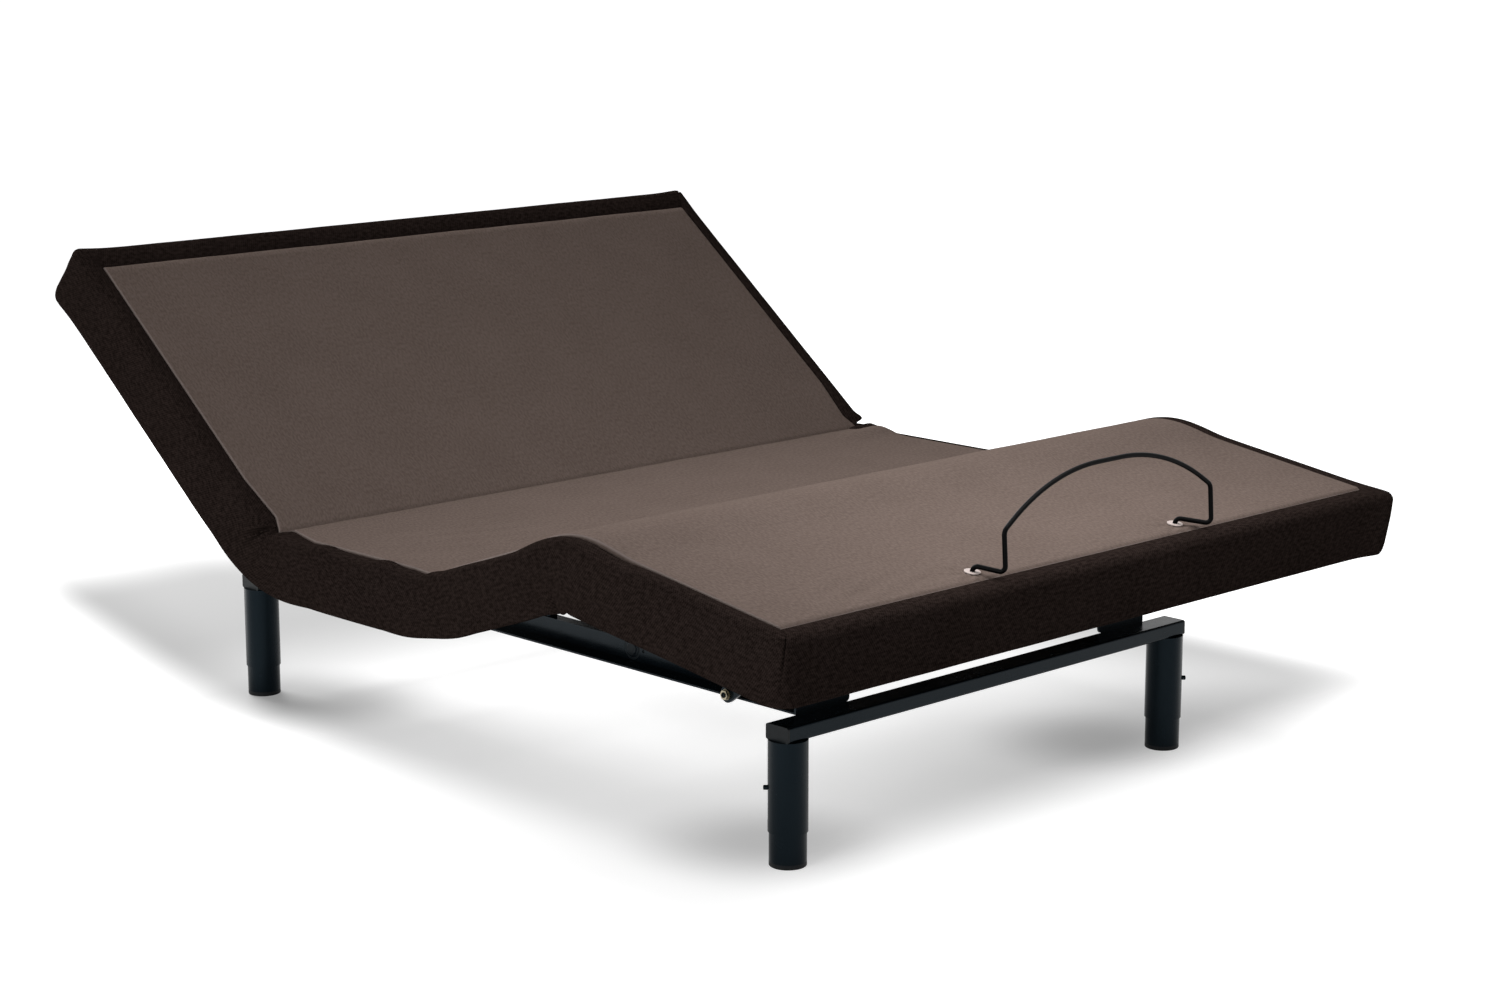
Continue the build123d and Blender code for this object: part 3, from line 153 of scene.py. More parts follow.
# Frame: box-section crossbars on the legs, channel rails tied to them by angle saddles, and
# posts with square bearers for the seat. All are welded steel with the same powder coat, and
# moulded caps close the ends of the crossbars.
CAP_DARK = (0.0022, 0.0036, 0.0046)
CAP_LIGHT = (0.0032, 0.0050, 0.0064)
cap_moulding = moulded_plastic("cap_moulding", CAP_DARK, CAP_LIGHT, 0.4)
dress(frame_coat, "foot_crossbar", "head_crossbar", "side_rail_left", "side_rail_right")
dress(frame_coat, "rail_saddles", "seat_posts", "seat_bearers", "drive_crossmember")
dress(cap_moulding, "crossbar_end_caps")


# Drives: two screw drives with moulded housings, steel tubes and bright push rods.
# A control box under the seat board feeds both and the two massage motors.
def bright_steel(name, dark, light, roughness):
    """Plain machined steel with fine drawn marks."""
    material, tree, shader = new_finish(name, light, roughness, 1.0)
    two_tone(tree, shader, between(tree, speckle(tree, 30, 5), 0, 1), dark, light)
    gloss = between(tree, speckle(tree, 220, 3), roughness - 0.08, roughness + 0.1)
    tree.links.new(gloss, shader.inputs["Roughness"])
    return material


rod_steel = bright_steel("rod_steel", (0.42, 0.42, 0.43), (0.58, 0.58, 0.6), 0.25)
grey_moulding = moulded_plastic("grey_moulding", (0.10, 0.10, 0.105), (0.14, 0.14, 0.145), 0.55)
dress(black_moulding, "head_drive_motor", "thigh_drive_motor", "control_box")
dress(black_moulding, "head_massage_motor", "foot_massage_motor")
dress(frame_coat, "drive_tubes")
dress(rod_steel, "head_drive_rod", "thigh_drive_rod")


# Lift gear: welded torque tubes with arms, nylon rollers on their axles, nylon bushes in the
# rails, and cam tracks under the boards. Foot links turn on zinc-plated shoulder bolts.
zinc = bright_steel("zinc", (0.24, 0.21, 0.15), (0.42, 0.38, 0.29), 0.32)
dress(frame_coat, "head_lift_shaft", "thigh_lift_shaft", "foot_links", "foot_link_brackets")
dress(grey_moulding, "head_rollers", "thigh_rollers")
bush_moulding = moulded_plastic("bush_moulding", (0.004, 0.007, 0.009), (0.006, 0.010, 0.013), 0.5)
dress(bush_moulding, "shaft_bushes")
dress(black_moulding, "head_lift_tracks", "thigh_lift_tracks")
dress(zinc, "link_pivot_bolts")


# Decks: plywood boards with timber edge frames, stained dark underneath, and steel butt
# hinges with loose pins between neighbouring panels.
def stained_board(name, dark, light):
    """Stained plywood with its grain across the bed."""
    material, tree, shader = new_finish(name, light, 0.7)
    shader.inputs["Specular IOR Level"].default_value = 0.1
    place = tree.nodes.new("ShaderNodeTexCoord")
    stretch = tree.nodes.new("ShaderNodeMapping")
    stretch.inputs["Scale"].default_value = (3, 60, 60)
    grain = tree.nodes.new("ShaderNodeTexNoise")
    grain.inputs["Scale"].default_value = 1
    grain.inputs["Detail"].default_value = 6
    tree.links.new(place.outputs["Object"], stretch.inputs["Vector"])
    tree.links.new(stretch.outputs["Vector"], grain.inputs["Vector"])
    two_tone(tree, shader, between(tree, grain.outputs["Fac"], 0, 1), dark, light)
    relief(tree, shader, grain.outputs["Fac"], 0.0006, 0.3)
    return material


board = stained_board("board", (0.020, 0.015, 0.012), (0.045, 0.034, 0.026))
dress(board, "head_deck", "seat_deck", "thigh_deck", "foot_deck")
dress(frame_coat, "seat_hinge_leaves", "head_hinge_leaves", "thigh_hinge_leaves")
dress(frame_coat, "foot_hinge_leaves")
dress(rod_steel, "seat_hinge_pins", "knee_hinge_pins")


# Borders: dark knitted cover cloth pulled over the panel edges, with a top margin, a soft
# round edge and a skirt to the hem. It is sewn to the top cloth and mitred at the corners.
joints = {joint["name"]: joint for joint in frame["joints"]}
BACK_HINGE = Vector(joints["head_lift"]["pos_m"])
THIGH_HINGE = Vector(joints["thigh_lift"]["pos_m"])
KNEE_HINGE = Vector(joints["foot_fold"]["pos_m"])
BACK_RAISE = radians(38)
THIGH_RAISE = radians(19)
KNEE_FOLD = radians(27.36)
HALF_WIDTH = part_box("seat_border")[1].x
SEAT_LENGTH = BACK_HINGE.y - THIGH_HINGE.y
BACK_LENGTH = 0.734
THIGH_LENGTH = 0.369
FOOT_LENGTH = 0.498
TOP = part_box("seat_pad")[1].z - BACK_HINGE.z
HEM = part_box("seat_border")[0].z - BACK_HINGE.z
SIDE_MARGIN = 0.034
BACK_END_MARGIN = 0.053
FOOT_END_MARGIN = 0.045
EDGE = 0.014
CORNER = 0.014
CORNER_STEPS = 10
MITRE_NOTCH = 0.007
FACE_LEVELS = np.linspace(0.006, -0.059, 14)
RIM_STEP = 0.012
SIDE_STEP = 0.008
FOLD_STEP = 0.003

# Rounding of the hem and swell of the stuffing at the left and the right corner of an end
BACK_HEM_CORNER = (0.020, 0.020)
FOOT_HEM_CORNER = (0.046, 0.022)
BACK_CORNER_SWELL = (0.006, 0.004)
FOOT_CORNER_SWELL = (0.0, 0.009)

# Each fold: hinge, direction from the hinge, slope before it, turn, half length of cloth
# that bends at the top and at the hem, half length of the whole fold piece, and of the
# stretch that turns when the joint moves
Fold = namedtuple("Fold", "hinge heading slope turn top_reach hem_reach half moving")
BACK_JOINT = Fold(BACK_HINGE, 1, 0.0, BACK_RAISE, 0.016, 0.13, 0.14, 0.11)
THIGH_JOINT = Fold(THIGH_HINGE, -1, 0.0, THIGH_RAISE, 0.06, 0.118, 0.125, 0.115)
KNEE_JOINT = Fold(KNEE_HINGE, -1, THIGH_RAISE, -KNEE_FOLD, 0.14, 0.035, 0.15, 0.115)

# Places along the bed are also counted as one path over the cloth, from the thigh hinge
# towards the head
BACK_LINE = SEAT_LENGTH
KNEE_LINE = -THIGH_LENGTH


def ramp(value):
    """Straight step from 0 to 1."""
    return min(max(value, 0.0), 1.0)


def ease(value):
    """Smooth step from 0 to 1."""
    value = ramp(value)
    return value * value * (3 - 2 * value)


def hump(distance, width):
    """Bell-shaped bump, 1 in the middle."""
    return exp(-((distance / width) ** 2))


def on_panel(hinge, heading, slope, across, along, level):
    """Point on or below a panel that starts at a hinge line."""
    y = hinge.y + heading * (along * cos(slope) - level * sin(slope))
    z = hinge.z + along * sin(slope) + level * cos(slope)
    return (across, y, z)


def on_fold(joint, across, along, level):
    """Point of the cloth that bends round a hinge line, along counted from the hinge."""
    depth = ramp((TOP - level) / (TOP - HEM))
    reach = joint.top_reach + (joint.hem_reach - joint.top_reach) * depth
    share = ease((along + reach) / (2 * reach))
    return on_panel(joint.hinge, joint.heading, joint.slope + share * joint.turn, across, along, level)


def border_section(margin):
    """Cross-section of the border as insets from its face and levels, seam first."""
    arc = [radians(angle) for angle in (78, 60, 42, 24, 8)]
    lip = [(margin, 0.007), (margin, 0.0195), (margin - 0.0015, 0.0216), (margin - 0.005, 0.0229)]
    crown = [(0.68 * margin, 0.0241), (EDGE + 0.003, 0.0243)]
    edge = [(EDGE - EDGE * cos(angle), TOP - EDGE + EDGE * sin(angle)) for angle in arc]
    face = [(0.0009 * ((level + 0.032) / 0.032) ** 2 - 0.001, level) for level in FACE_LEVELS]
    tuck = [(0.0008, -0.067), (0.0025, -0.074), (0.0055, -0.0795)]
    inside = [(0.009, HEM), (0.0125, -0.078), (EDGE, -0.072), (EDGE, -0.05), (EDGE, 0.005)]
    return lip + crown + edge + face + tuck + inside


def cloth_swell(across, path):
    """Small unevenness of cloth pulled over a panel."""
    broad = noise.noise((across * 7, path * 7, 3.1)) * 0.0009
    fine = noise.noise((across * 26, path * 26, 7.7)) * 0.0003
    return broad + fine


CREASE_DEPTH = 0.022
CREASE_SLACK = 0.008
PLEAT_DEPTH = 0.008
PLEAT_SLACK = 0.005
KNEE_PINCH = 0.012
PINCH_SLACK = 0.002
HEM_DROP = 0.009
BACK_HEM_DROP = 0.007
BACK_HEM_FLARE = 0.005
KNEE_DROOP = 0.014
FOOT_DROOP = 0.010
FAR_RISE = 0.008

# Small waves of the near side's edge: place on the path and height
EDGE_WAVES = ((0.282, 0.004), (0.117, 0.0055), (-0.018, 0.005))


def gather(hand, path, level):
    """How far the border stands out and up from its plain form, at a level of its side."""
    low = ease((-0.02 - level) / 0.05)
    high = ease((level + 0.035) / 0.045)
    crown = ease((level - 0.010) / 0.012)
    hem_edge = ease((-0.040 - level) / 0.03)
    at_back = path - BACK_LINE
    at_knee = path - KNEE_LINE - 0.025

    # Two creases slant down from the back fold, with slack cloth standing out beside them
    crease = at_back - 0.020 - 0.54 * (TOP - level)
    pleat = at_back - 0.004 - 0.25 * (TOP - level)
    out = -CREASE_DEPTH * high * hump(crease, 0.005) - PLEAT_DEPTH * high * hump(pleat, 0.005)
    out += CREASE_SLACK * high * hump(crease - 0.014, 0.011)
    out += PLEAT_SLACK * high * hump(pleat + 0.02, 0.012)

    # The hem is pinched in beside the knee
    pinch = at_knee - 0.02
    out -= KNEE_PINCH * hem_edge * hump(pinch, 0.006)
    out += PINCH_SLACK * hem_edge * (hump(pinch - 0.02, 0.012) + hump(pinch + 0.02, 0.012))

    # It hangs lowest along the back and under the knee, and is drawn up at the two valleys
    out += BACK_HEM_FLARE * low * ease(at_back / 0.2)
    drop = HEM_DROP + BACK_HEM_DROP * ease(at_back / 0.12)
    drop *= (1 - hump(at_back + 0.02, 0.07)) * (1 - hump(path, 0.06))
    if at_knee > 0:
        drop += KNEE_DROOP * hump(at_knee, 0.035) - drop * hump(at_knee, 0.05)
    else:
        drop = KNEE_DROOP - (KNEE_DROOP - FOOT_DROOP) * ease((-at_knee - 0.06) / 0.25)
    up = -low * drop

    # The top edge dips between the folds, and differs from side to side
    valley = ease((path + 0.14) / 0.12) * ease((BACK_LINE - path) / 0.08)
    if hand > 0:
        up += crown * (FAR_RISE * hump(at_back + 0.03, 0.03) - 0.003 * valley)
        return out + cloth_swell(hand + path, level * 3), up
    thigh_dip = 0.004 * hump(path + 0.21, 0.13) + 0.006 * hump(path + 0.45, 0.07)
    up -= crown * (0.002 * valley + thigh_dip)
    for place, lift in EDGE_WAVES:
        up += lift * crown * hump(path - place, 0.024)
    return out + cloth_swell(hand + path, level * 3), up


def side_margin(path):
    """Width of the border's top margin along the sides, wider where it folds at the back."""
    at_back = path - BACK_LINE
    seat_fold = 0.027 * ramp((at_back + 0.11) / 0.1) * ease((0.004 - at_back) / 0.009)
    back_fold = 0.011 * ramp((0.138 - at_back) / 0.09) * ease((at_back - 0.006) / 0.042)
    return SIDE_MARGIN + seat_fold + back_fold


def loft(name, stations, runs):
    """Closed piece through rings of points, with its cloth measured out as UVs in metres."""
    stations = np.array(stations)
    count, size, _ = stations.shape
    loops = np.concatenate([stations, stations[:, :1]], axis=1)
    steps = np.linalg.norm(np.diff(loops, axis=1), axis=2).mean(axis=0)
    around = np.concatenate([[0], np.cumsum(steps)])
    mesh = bpy.data.meshes.new(name)
    build = bmesh.new()
    weave = build.loops.layers.uv.new("weave")
    rings = [[build.verts.new(point) for point in ring] for ring in stations]
    for i in range(count - 1):
        for j in range(size):
            k = (j + 1) % size
            corners = (rings[i][j], rings[i][k], rings[i + 1][k], rings[i + 1][j])
            places = ((i, j), (i, j + 1), (i + 1, j + 1), (i + 1, j))
            quad = build.faces.new(corners)
            quad.smooth = True
            for corner, (run, turn) in zip(quad.loops, places):
                corner[weave].uv = (runs[run], around[turn])
    for end in (rings[0], rings[-1]):
        cap = build.faces.new(end)
        for edge in cap.edges:
            edge.smooth = False
    bmesh.ops.remove_doubles(build, verts=build.verts, dist=1e-6)
    bmesh.ops.recalc_face_normals(build, faces=build.faces)
    build.to_mesh(mesh)
    build.free()
    piece = bpy.data.objects.new(name, mesh)
    bpy.context.scene.collection.objects.link(piece)
    return piece


def steps_between(start, end, spacing):
    """Evenly spaced places from start to end, both kept."""
    count = max(2, round(abs(end - start) / spacing) + 1)
    return np.linspace(start, end, count)


def stitch_rows(tree, width, height):
    """Staggered rows of stitches over the measured cloth, from 0 in the gaps to 1."""
    place = tree.nodes.new("ShaderNodeTexCoord")
    split = tree.nodes.new("ShaderNodeSeparateXYZ")
    tree.links.new(place.outputs["UV"], split.inputs["Vector"])
    rows = tree.nodes.new("ShaderNodeMath")
    rows.operation = "MULTIPLY"
    for index, (axis, pitch) in enumerate((("X", width), ("Y", 2 * height))):
        turn = tree.nodes.new("ShaderNodeMath")
        turn.operation = "MULTIPLY"
        turn.inputs[1].default_value = 2 * pi / pitch
        wave = tree.nodes.new("ShaderNodeMath")
        wave.operation = "COSINE"
        tree.links.new(split.outputs[axis], turn.inputs[0])
        tree.links.new(turn.outputs["Value"], wave.inputs[0])
        tree.links.new(wave.outputs["Value"], rows.inputs[index])
    return between(tree, rows.outputs["Value"], 0, 1, -1, 1)


def slub(tree, mottle):
    """Uneven yarn: short streaks along the rows, with their grain given per metre."""
    place = tree.nodes.new("ShaderNodeTexCoord")
    stretch = tree.nodes.new("ShaderNodeMapping")
    stretch.inputs["Scale"].default_value = (0.5 * mottle, mottle, mottle)
    grain = tree.nodes.new("ShaderNodeTexNoise")
    grain.inputs["Scale"].default_value = 1
    grain.inputs["Detail"].default_value = 3
    tree.links.new(place.outputs["UV"], stretch.inputs["Vector"])
    tree.links.new(stretch.outputs["Vector"], grain.inputs["Vector"])
    return between(tree, grain.outputs["Fac"], 0, 1, 0.36, 0.64)


BROAD_SHARE = 0.10
SLUB_SHARE = 0.40
STITCH_SHARE = 0.46


def knit(name, dark, light, width, height, mottle):
    """Knitted cloth: staggered stitches with a heather of two shades of yarn."""
    material, tree, shader = new_finish(name, light, 0.95)
    shader.inputs["Specular IOR Level"].default_value = 0.0
    stitches = stitch_rows(tree, width, height)
    shade = between(tree, speckle(tree, 9, 3, "UV"), 0, BROAD_SHARE)
    for layer, share in ((slub(tree, mottle), SLUB_SHARE), (stitches, STITCH_SHARE)):
        step = tree.nodes.new("ShaderNodeMath")
        step.operation = "MULTIPLY_ADD"
        step.inputs[1].default_value = share
        tree.links.new(layer, step.inputs[0])
        tree.links.new(shade, step.inputs[2])
        shade = step.outputs["Value"]
    two_tone(tree, shader, shade, dark, light)
    relief(tree, shader, stitches, 0.0008, 0.5)
    return material


BORDER_DARK = (0.0030, 0.0018, 0.0013)
BORDER_LIGHT = (0.0360, 0.0252, 0.0222)
border_knit = knit("border_knit", BORDER_DARK, BORDER_LIGHT, 0.0046, 0.0034, 200)


def sew_border(name, stations, runs, body=None):
    """Finish a border piece, riding on one panel or left unattached."""
    piece = loft(name, stations, runs)
    piece.data.materials.append(border_knit)
    if body:
        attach(piece, body)
    return piece


def rim_ring(rim, inner, margin, place, path, hand):
    """One ring of border points round its section, at a place on the panel's rim.

    The rim is its outer edge and the way it faces, or a function that gives both at a level.
    """
    ring = []
    for inset, level in border_section(margin):
        share = max(0.0, (inset - EDGE) / (margin - EDGE))
        out, up = gather(hand, path, level)
        edge_inset = min(inset, EDGE) - out * (1 - share)
        outer, outward = rim(level) if callable(rim) else rim
        across = outer[0] - outward[0] * edge_inset
        along = outer[1] - outward[1] * edge_inset
        across += (inner[0] - across) * share
        along += (inner[1] - along) * share
        ring.append(place(across, along, level + up))
    return ring


def open_rim(length, start, end_margin, hem_corners, swells, place, line, heading):
    """Border rings round the free end of a panel, from one hinge side to the other."""
    stations = []
    runs = []
    inner_side = HALF_WIDTH - SIDE_MARGIN
    inner_end = length - end_margin
    far_line = line + heading * length
    turn = np.linspace(0, pi / 2, CORNER_STEPS + 1)

    def add(outer, outward, inner, margin, path, hand, run):
        """Add one ring, from its outer and inner edge."""
        # Near a corner the stuffing swells and the skirt draws in to a wider curve at its hem
        side = 1 if outer[0] > 0 else -1
        hem_corner = hem_corners[side > 0]
        corner_stretch = 2 * (hem_corner - CORNER) + CORNER * pi / 2
        from_end = length - outer[1]
        from_side = HALF_WIDTH - abs(outer[0])
        push = swells[side > 0] * hump(np.hypot(from_end, from_side), 0.05)
        outer = tuple(a + push * b for a, b in zip(outer, outward))
        rim = (outer, outward)
        if max(from_end, from_side) < hem_corner:
            angle = np.arctan2(outward[1], abs(outward[0]))
            covered = hem_corner - max(from_end, CORNER) + CORNER * angle
            covered += max(from_side - CORNER, 0.0)
            turned = pi / 2 * covered / corner_stretch
            wide_out = (side * cos(turned), sin(turned))
            wide = (
                side * (HALF_WIDTH - hem_corner) + (hem_corner + push) * wide_out[0],
                length - hem_corner + (hem_corner + push) * wide_out[1],
            )

            def rim(level):
                """Outer edge at a level and the way it faces, rounder towards the hem."""
                low = ease((0.012 - level) / 0.085)
                middle = tuple(a + (b - a) * low for a, b in zip(outer, wide))
                facing = Vector(a + (b - a) * low for a, b in zip(outward, wide_out))
                return middle, facing.normalized()

        stations.append(rim_ring(rim, inner, margin, place, path, hand))
        runs.append(run)

    def add_side(hand, places, run_start, step):
        """Add the rings along one side."""
        for along in places:
            outer = (hand * HALF_WIDTH, along)
            inner = (hand * inner_side, min(along, inner_end))
            run = run_start + step * along
            add(outer, (hand, 0), inner, SIDE_MARGIN, line + heading * along, hand, run)

    def add_corner(hand, angles, run_start):
        """Add the rings round one corner, notched at its mitre."""
        for index, angle in enumerate(angles):
            outward = (hand * cos(angle), sin(angle))
            notch = MITRE_NOTCH * hump(angle - pi / 4, 0.09)
            outer = (
                hand * (HALF_WIDTH - CORNER) + (CORNER - notch) * outward[0],
                length - CORNER + (CORNER - notch) * outward[1],
            )
            margin = SIDE_MARGIN + (end_margin - SIDE_MARGIN) * angle / (pi / 2)
            run = run_start + CORNER * pi / (2 * CORNER_STEPS) * (index + 1)
            add(outer, outward, (hand * inner_side, inner_end), margin, far_line, hand, run)

    side_places = steps_between(start, length - CORNER, RIM_STEP)
    corner_run = CORNER * pi / 2
    end_start = length - CORNER + corner_run
    end_width = 2 * (HALF_WIDTH - CORNER)
    add_side(-1, side_places, 0.0, 1)
    add_corner(-1, turn[1:], length - CORNER)
    for across in steps_between(-end_width / 2, end_width / 2, RIM_STEP)[1:]:
        inner = (min(max(across, -inner_side), inner_side), inner_end)
        run = end_start + across + end_width / 2
        add((across, length), (0, 1), inner, end_margin, far_line, across, run)
    add_corner(1, turn[::-1][1:], end_start + end_width)
    back_run = end_start + end_width + corner_run
    add_side(1, side_places[::-1][1:], back_run + length - CORNER, -1)
    return stations, runs


def side_rims(name, places, place, line, heading, body=None):
    """Border rings along both sides of a panel or fold, as two pieces."""
    pieces = []
    for hand, label in ((-1, "left"), (1, "right")):
        stations = []
        runs = []
        for along in places:
            outer = (hand * HALF_WIDTH, along)
            path = line + heading * along
            margin = side_margin(path)
            inner = (hand * (HALF_WIDTH - margin), along)
            stations.append(rim_ring((outer, (hand, 0)), inner, margin, place, path, hand))
            runs.append(path)
        pieces.append(sew_border(f"{name}_{label}", stations, runs, body))
    return pieces


def on_back(across, along, level):
    """Point on or below the back panel, in its raised place."""
    return on_panel(BACK_HINGE, 1, BACK_RAISE, across, along, level)


def on_seat(across, along, level):
    """Point on or below the level seat, counted from the thigh hinge."""
    return on_panel(THIGH_HINGE, 1, 0.0, across, along, level)


def on_thigh(across, along, level):
    """Point on or below the thigh panel, in its raised place."""
    return on_panel(THIGH_HINGE, -1, THIGH_RAISE, across, along, level)


def on_foot(across, along, level):
    """Point on or below the foot panel, sloping down from the knee."""
    return on_panel(KNEE_HINGE, -1, THIGH_RAISE - KNEE_FOLD, across, along, level)


back_rim = open_rim(
    BACK_LENGTH, BACK_JOINT.half, BACK_END_MARGIN, BACK_HEM_CORNER, BACK_CORNER_SWELL,
    on_back, BACK_LINE, 1,
)
back_border = sew_border("back_border", *back_rim, "head_panel")
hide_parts("head_border")
foot_rim = open_rim(
    FOOT_LENGTH, KNEE_JOINT.half, FOOT_END_MARGIN, FOOT_HEM_CORNER, FOOT_CORNER_SWELL,
    on_foot, KNEE_LINE, -1,
)
foot_border = sew_border("foot_border_cloth", *foot_rim, "foot_panel")
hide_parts("foot_border")
seat_places = steps_between(THIGH_JOINT.half, SEAT_LENGTH - BACK_JOINT.half, SIDE_STEP)
for piece in side_rims("seat_border", seat_places, on_seat, 0.0, 1, "base"):
    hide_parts("seat_border")
thigh_places = steps_between(THIGH_JOINT.half, THIGH_LENGTH - KNEE_JOINT.half, SIDE_STEP)
for piece in side_rims("thigh_border", thigh_places, on_thigh, 0.0, -1, "thigh_panel"):
    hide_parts("thigh_border")


# Border folds: the same cloth where it crosses the three hinge lines, gathered in the two
# valleys and stretched over the knee.
SKIRT_MIDDLE = -0.03


def bend_span(joint, level):
    """Ends of the stretch of a fold that turns, at a level of the cloth."""
    middle = joint.slope + joint.turn / 2
    start = Vector(on_panel(joint.hinge, joint.heading, middle, 0.0, -joint.moving, level))
    end = Vector(on_panel(joint.hinge, joint.heading, middle, 0.0, joint.moving, level))
    return start, end


def fold_places(joint):
    """Places along a fold piece, counted from its hinge."""
    return steps_between(-joint.half, joint.half, FOLD_STEP)


def fold_borders(name, joint, line):
    """Border cloth over a hinge line on both sides, bending between its two panels."""
    def place(across, along, level):
        """Point of this fold's cloth."""
        return on_fold(joint, across, along, level)

    for piece in side_rims(name, fold_places(joint), place, line, joint.heading):
        start, end = bend_span(joint, SKIRT_MIDDLE)
        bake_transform(piece)
        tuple(start)
        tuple(end)


fold_borders("back_fold", BACK_JOINT, BACK_LINE)
fold_borders("thigh_fold", THIGH_JOINT, 0.0)
fold_borders("knee_fold", KNEE_JOINT, KNEE_LINE)


# Tops: taupe woven cloth laid over the foam of each panel and sewn to the border. It runs on
# over the hinge lines, creased at the back, soft at the thigh and stretched at the knee.
TOP_DARK = (0.104, 0.077, 0.065)
TOP_LIGHT = (0.198, 0.152, 0.133)
top_weave = knit("top_weave", TOP_DARK, TOP_LIGHT, 0.0022, 0.0012, 260)
TOP_UNDER = 0.0065
SIDE_ROLL = 0.012
FOOT_STEP = 0.005
END_ROLL = 0.006
SEAM_DEPTH = 0.004
PUCKER_PLEATS = 9
PUCKER_RISE = 0.0014
SLACK_RISE = 0.0010
SEAT_FOLD_PITCH = 0.052
FOOT_FOLD_PITCH = 0.044
LOOSE_RISE = 0.014
# Colour of the highlight painted along the rolled edge of the top cloth at its seams
SEAM_HIGHLIGHT = (0.25, 0.205, 0.188)


def paint_seam_highlight(material, shade):
    """Paint a highlight into the cloth's colour where its rolled edge at a seam is marked."""
    tree = material.node_tree
    colour = tree.nodes["Principled BSDF"].inputs["Base Color"]
    mark = tree.nodes.new("ShaderNodeAttribute")
    mark.attribute_name = "painted_highlight"
    mixer = tree.nodes.new("ShaderNodeMix")
    mixer.data_type = "RGBA"
    mixer.inputs["B"].default_value = (*shade, 1)
    tree.links.new(mark.outputs["Fac"], mixer.inputs["Factor"])
    tree.links.new(colour.links[0].from_socket, mixer.inputs["A"])
    tree.links.new(mixer.outputs["Result"], colour)


def mark_seam_highlight(piece, lines, size, rolled):
    """Mark the points of a top where a highlight is painted: along its side seams and on its rolled
    end.
    """
    edge = piece.data.attributes.new("painted_highlight", "FLOAT", "POINT")
    for index in range(lines * size):
        line, place = divmod(index, size)
        on_side = min(place, size - 1 - place) == 2
        edge.data[index].value = float(on_side or (rolled and line == lines - 1))


# The top cloth gets a painted highlight along the rolled edges of its seams
paint_seam_highlight(top_weave, SEAM_HIGHLIGHT)


def socket_pucker(across, path):
    """Pleats of the foot cloth drawn in round the retainer sockets."""
    rise = 0.0
    for socket in SOCKETS:
        away = np.hypot(across - socket[0], path - socket[1])
        around = np.arctan2(path - socket[1], across - socket[0])
        rise += PUCKER_RISE * cos(PUCKER_PLEATS * around + 1) * hump(away - 0.032, 0.024)
        rise -= 0.0016 * hump(away, 0.016)
    return rise


def slack_folds(across, path):
    """Long shallow folds of slack cloth: by the near side of the seat and at the foot end."""
    seat = hump(across + 0.48, 0.16) * hump(path - 0.20, 0.09)
    foot = hump(across + 0.45, 0.17) * hump(path - KNEE_LINE + 0.39, 0.05)
    wander = 0.02 * noise.noise((across * 5, path * 5, 1.3))
    seat_fold = sin(2 * pi * (path + 0.22 * across + wander) / SEAT_FOLD_PITCH)
    foot_fold = sin(2 * pi * (path - 0.30 * across + wander) / FOOT_FOLD_PITCH)
    return SLACK_RISE * seat * seat_fold + SLACK_RISE * foot * foot_fold


def loose_corner(across, path):
    """Slack of the seat cloth that stands up at one end of the back fold."""
    return LOOSE_RISE * hump(across - 0.70, 0.10) * hump(path - BACK_LINE + 0.08, 0.035)


def top_ring(place, along, path, spacing):
    """One line of top cloth across the bed, closed underneath."""
    roll = [(0.0, TOP_UNDER), (0.0, 0.0195), (0.001, 0.0229), (0.003, 0.0243), (0.006, 0.0242)]
    side = HALF_WIDTH - side_margin(path)
    profile = [(inset - side, level) for inset, level in roll]
    middle = HALF_WIDTH - SIDE_MARGIN - SIDE_ROLL
    for across in steps_between(-middle, middle, spacing) * (side - SIDE_ROLL) / middle:
        swell = cloth_swell(across, path) + socket_pucker(across, path)
        swell += slack_folds(across, path) + loose_corner(across, path)
        profile.append((across, TOP + swell))
    profile += [(side - inset, level + loose_corner(side, path)) for inset, level in reversed(roll)]
    return [place(across, along, level) for across, level in profile]


def sew_top(name, places, place, line, heading, spacing=RIM_STEP, body=None, rolled=False):
    """Make a top piece line by line, riding on one panel or left unattached."""
    runs = [line + heading * along for along in places]
    stations = [top_ring(place, along, run, spacing) for along, run in zip(places, runs)]
    piece = loft(name, stations, runs)
    mark_seam_highlight(piece, len(stations), len(stations[0]), rolled)
    piece.data.materials.append(top_weave)
    if body:
        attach(piece, body)
    return piece


def free_end_places(start, end, spacing):
    """Places along a panel whose top rolls down into the border at its free end."""
    flat = steps_between(start, end - END_ROLL, spacing)
    return np.concatenate([flat, [end - 0.0015, end]])


def rolled_end(place, end):
    """Lower the last lines of a top into its seam with the border."""
    def lowered(across, along, level):
        """The same point, sunk towards the seam where it lies on the upper side."""
        gap = max(0.0, along - end + END_ROLL) / END_ROLL
        return place(across, along, level - SEAM_DEPTH * gap * gap * (level > 0.015))

    return lowered


sockets_low, sockets_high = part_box("retainer_sockets")
SOCKET_RIM = 0.0133
SOCKET_LINE = KNEE_LINE - 0.423

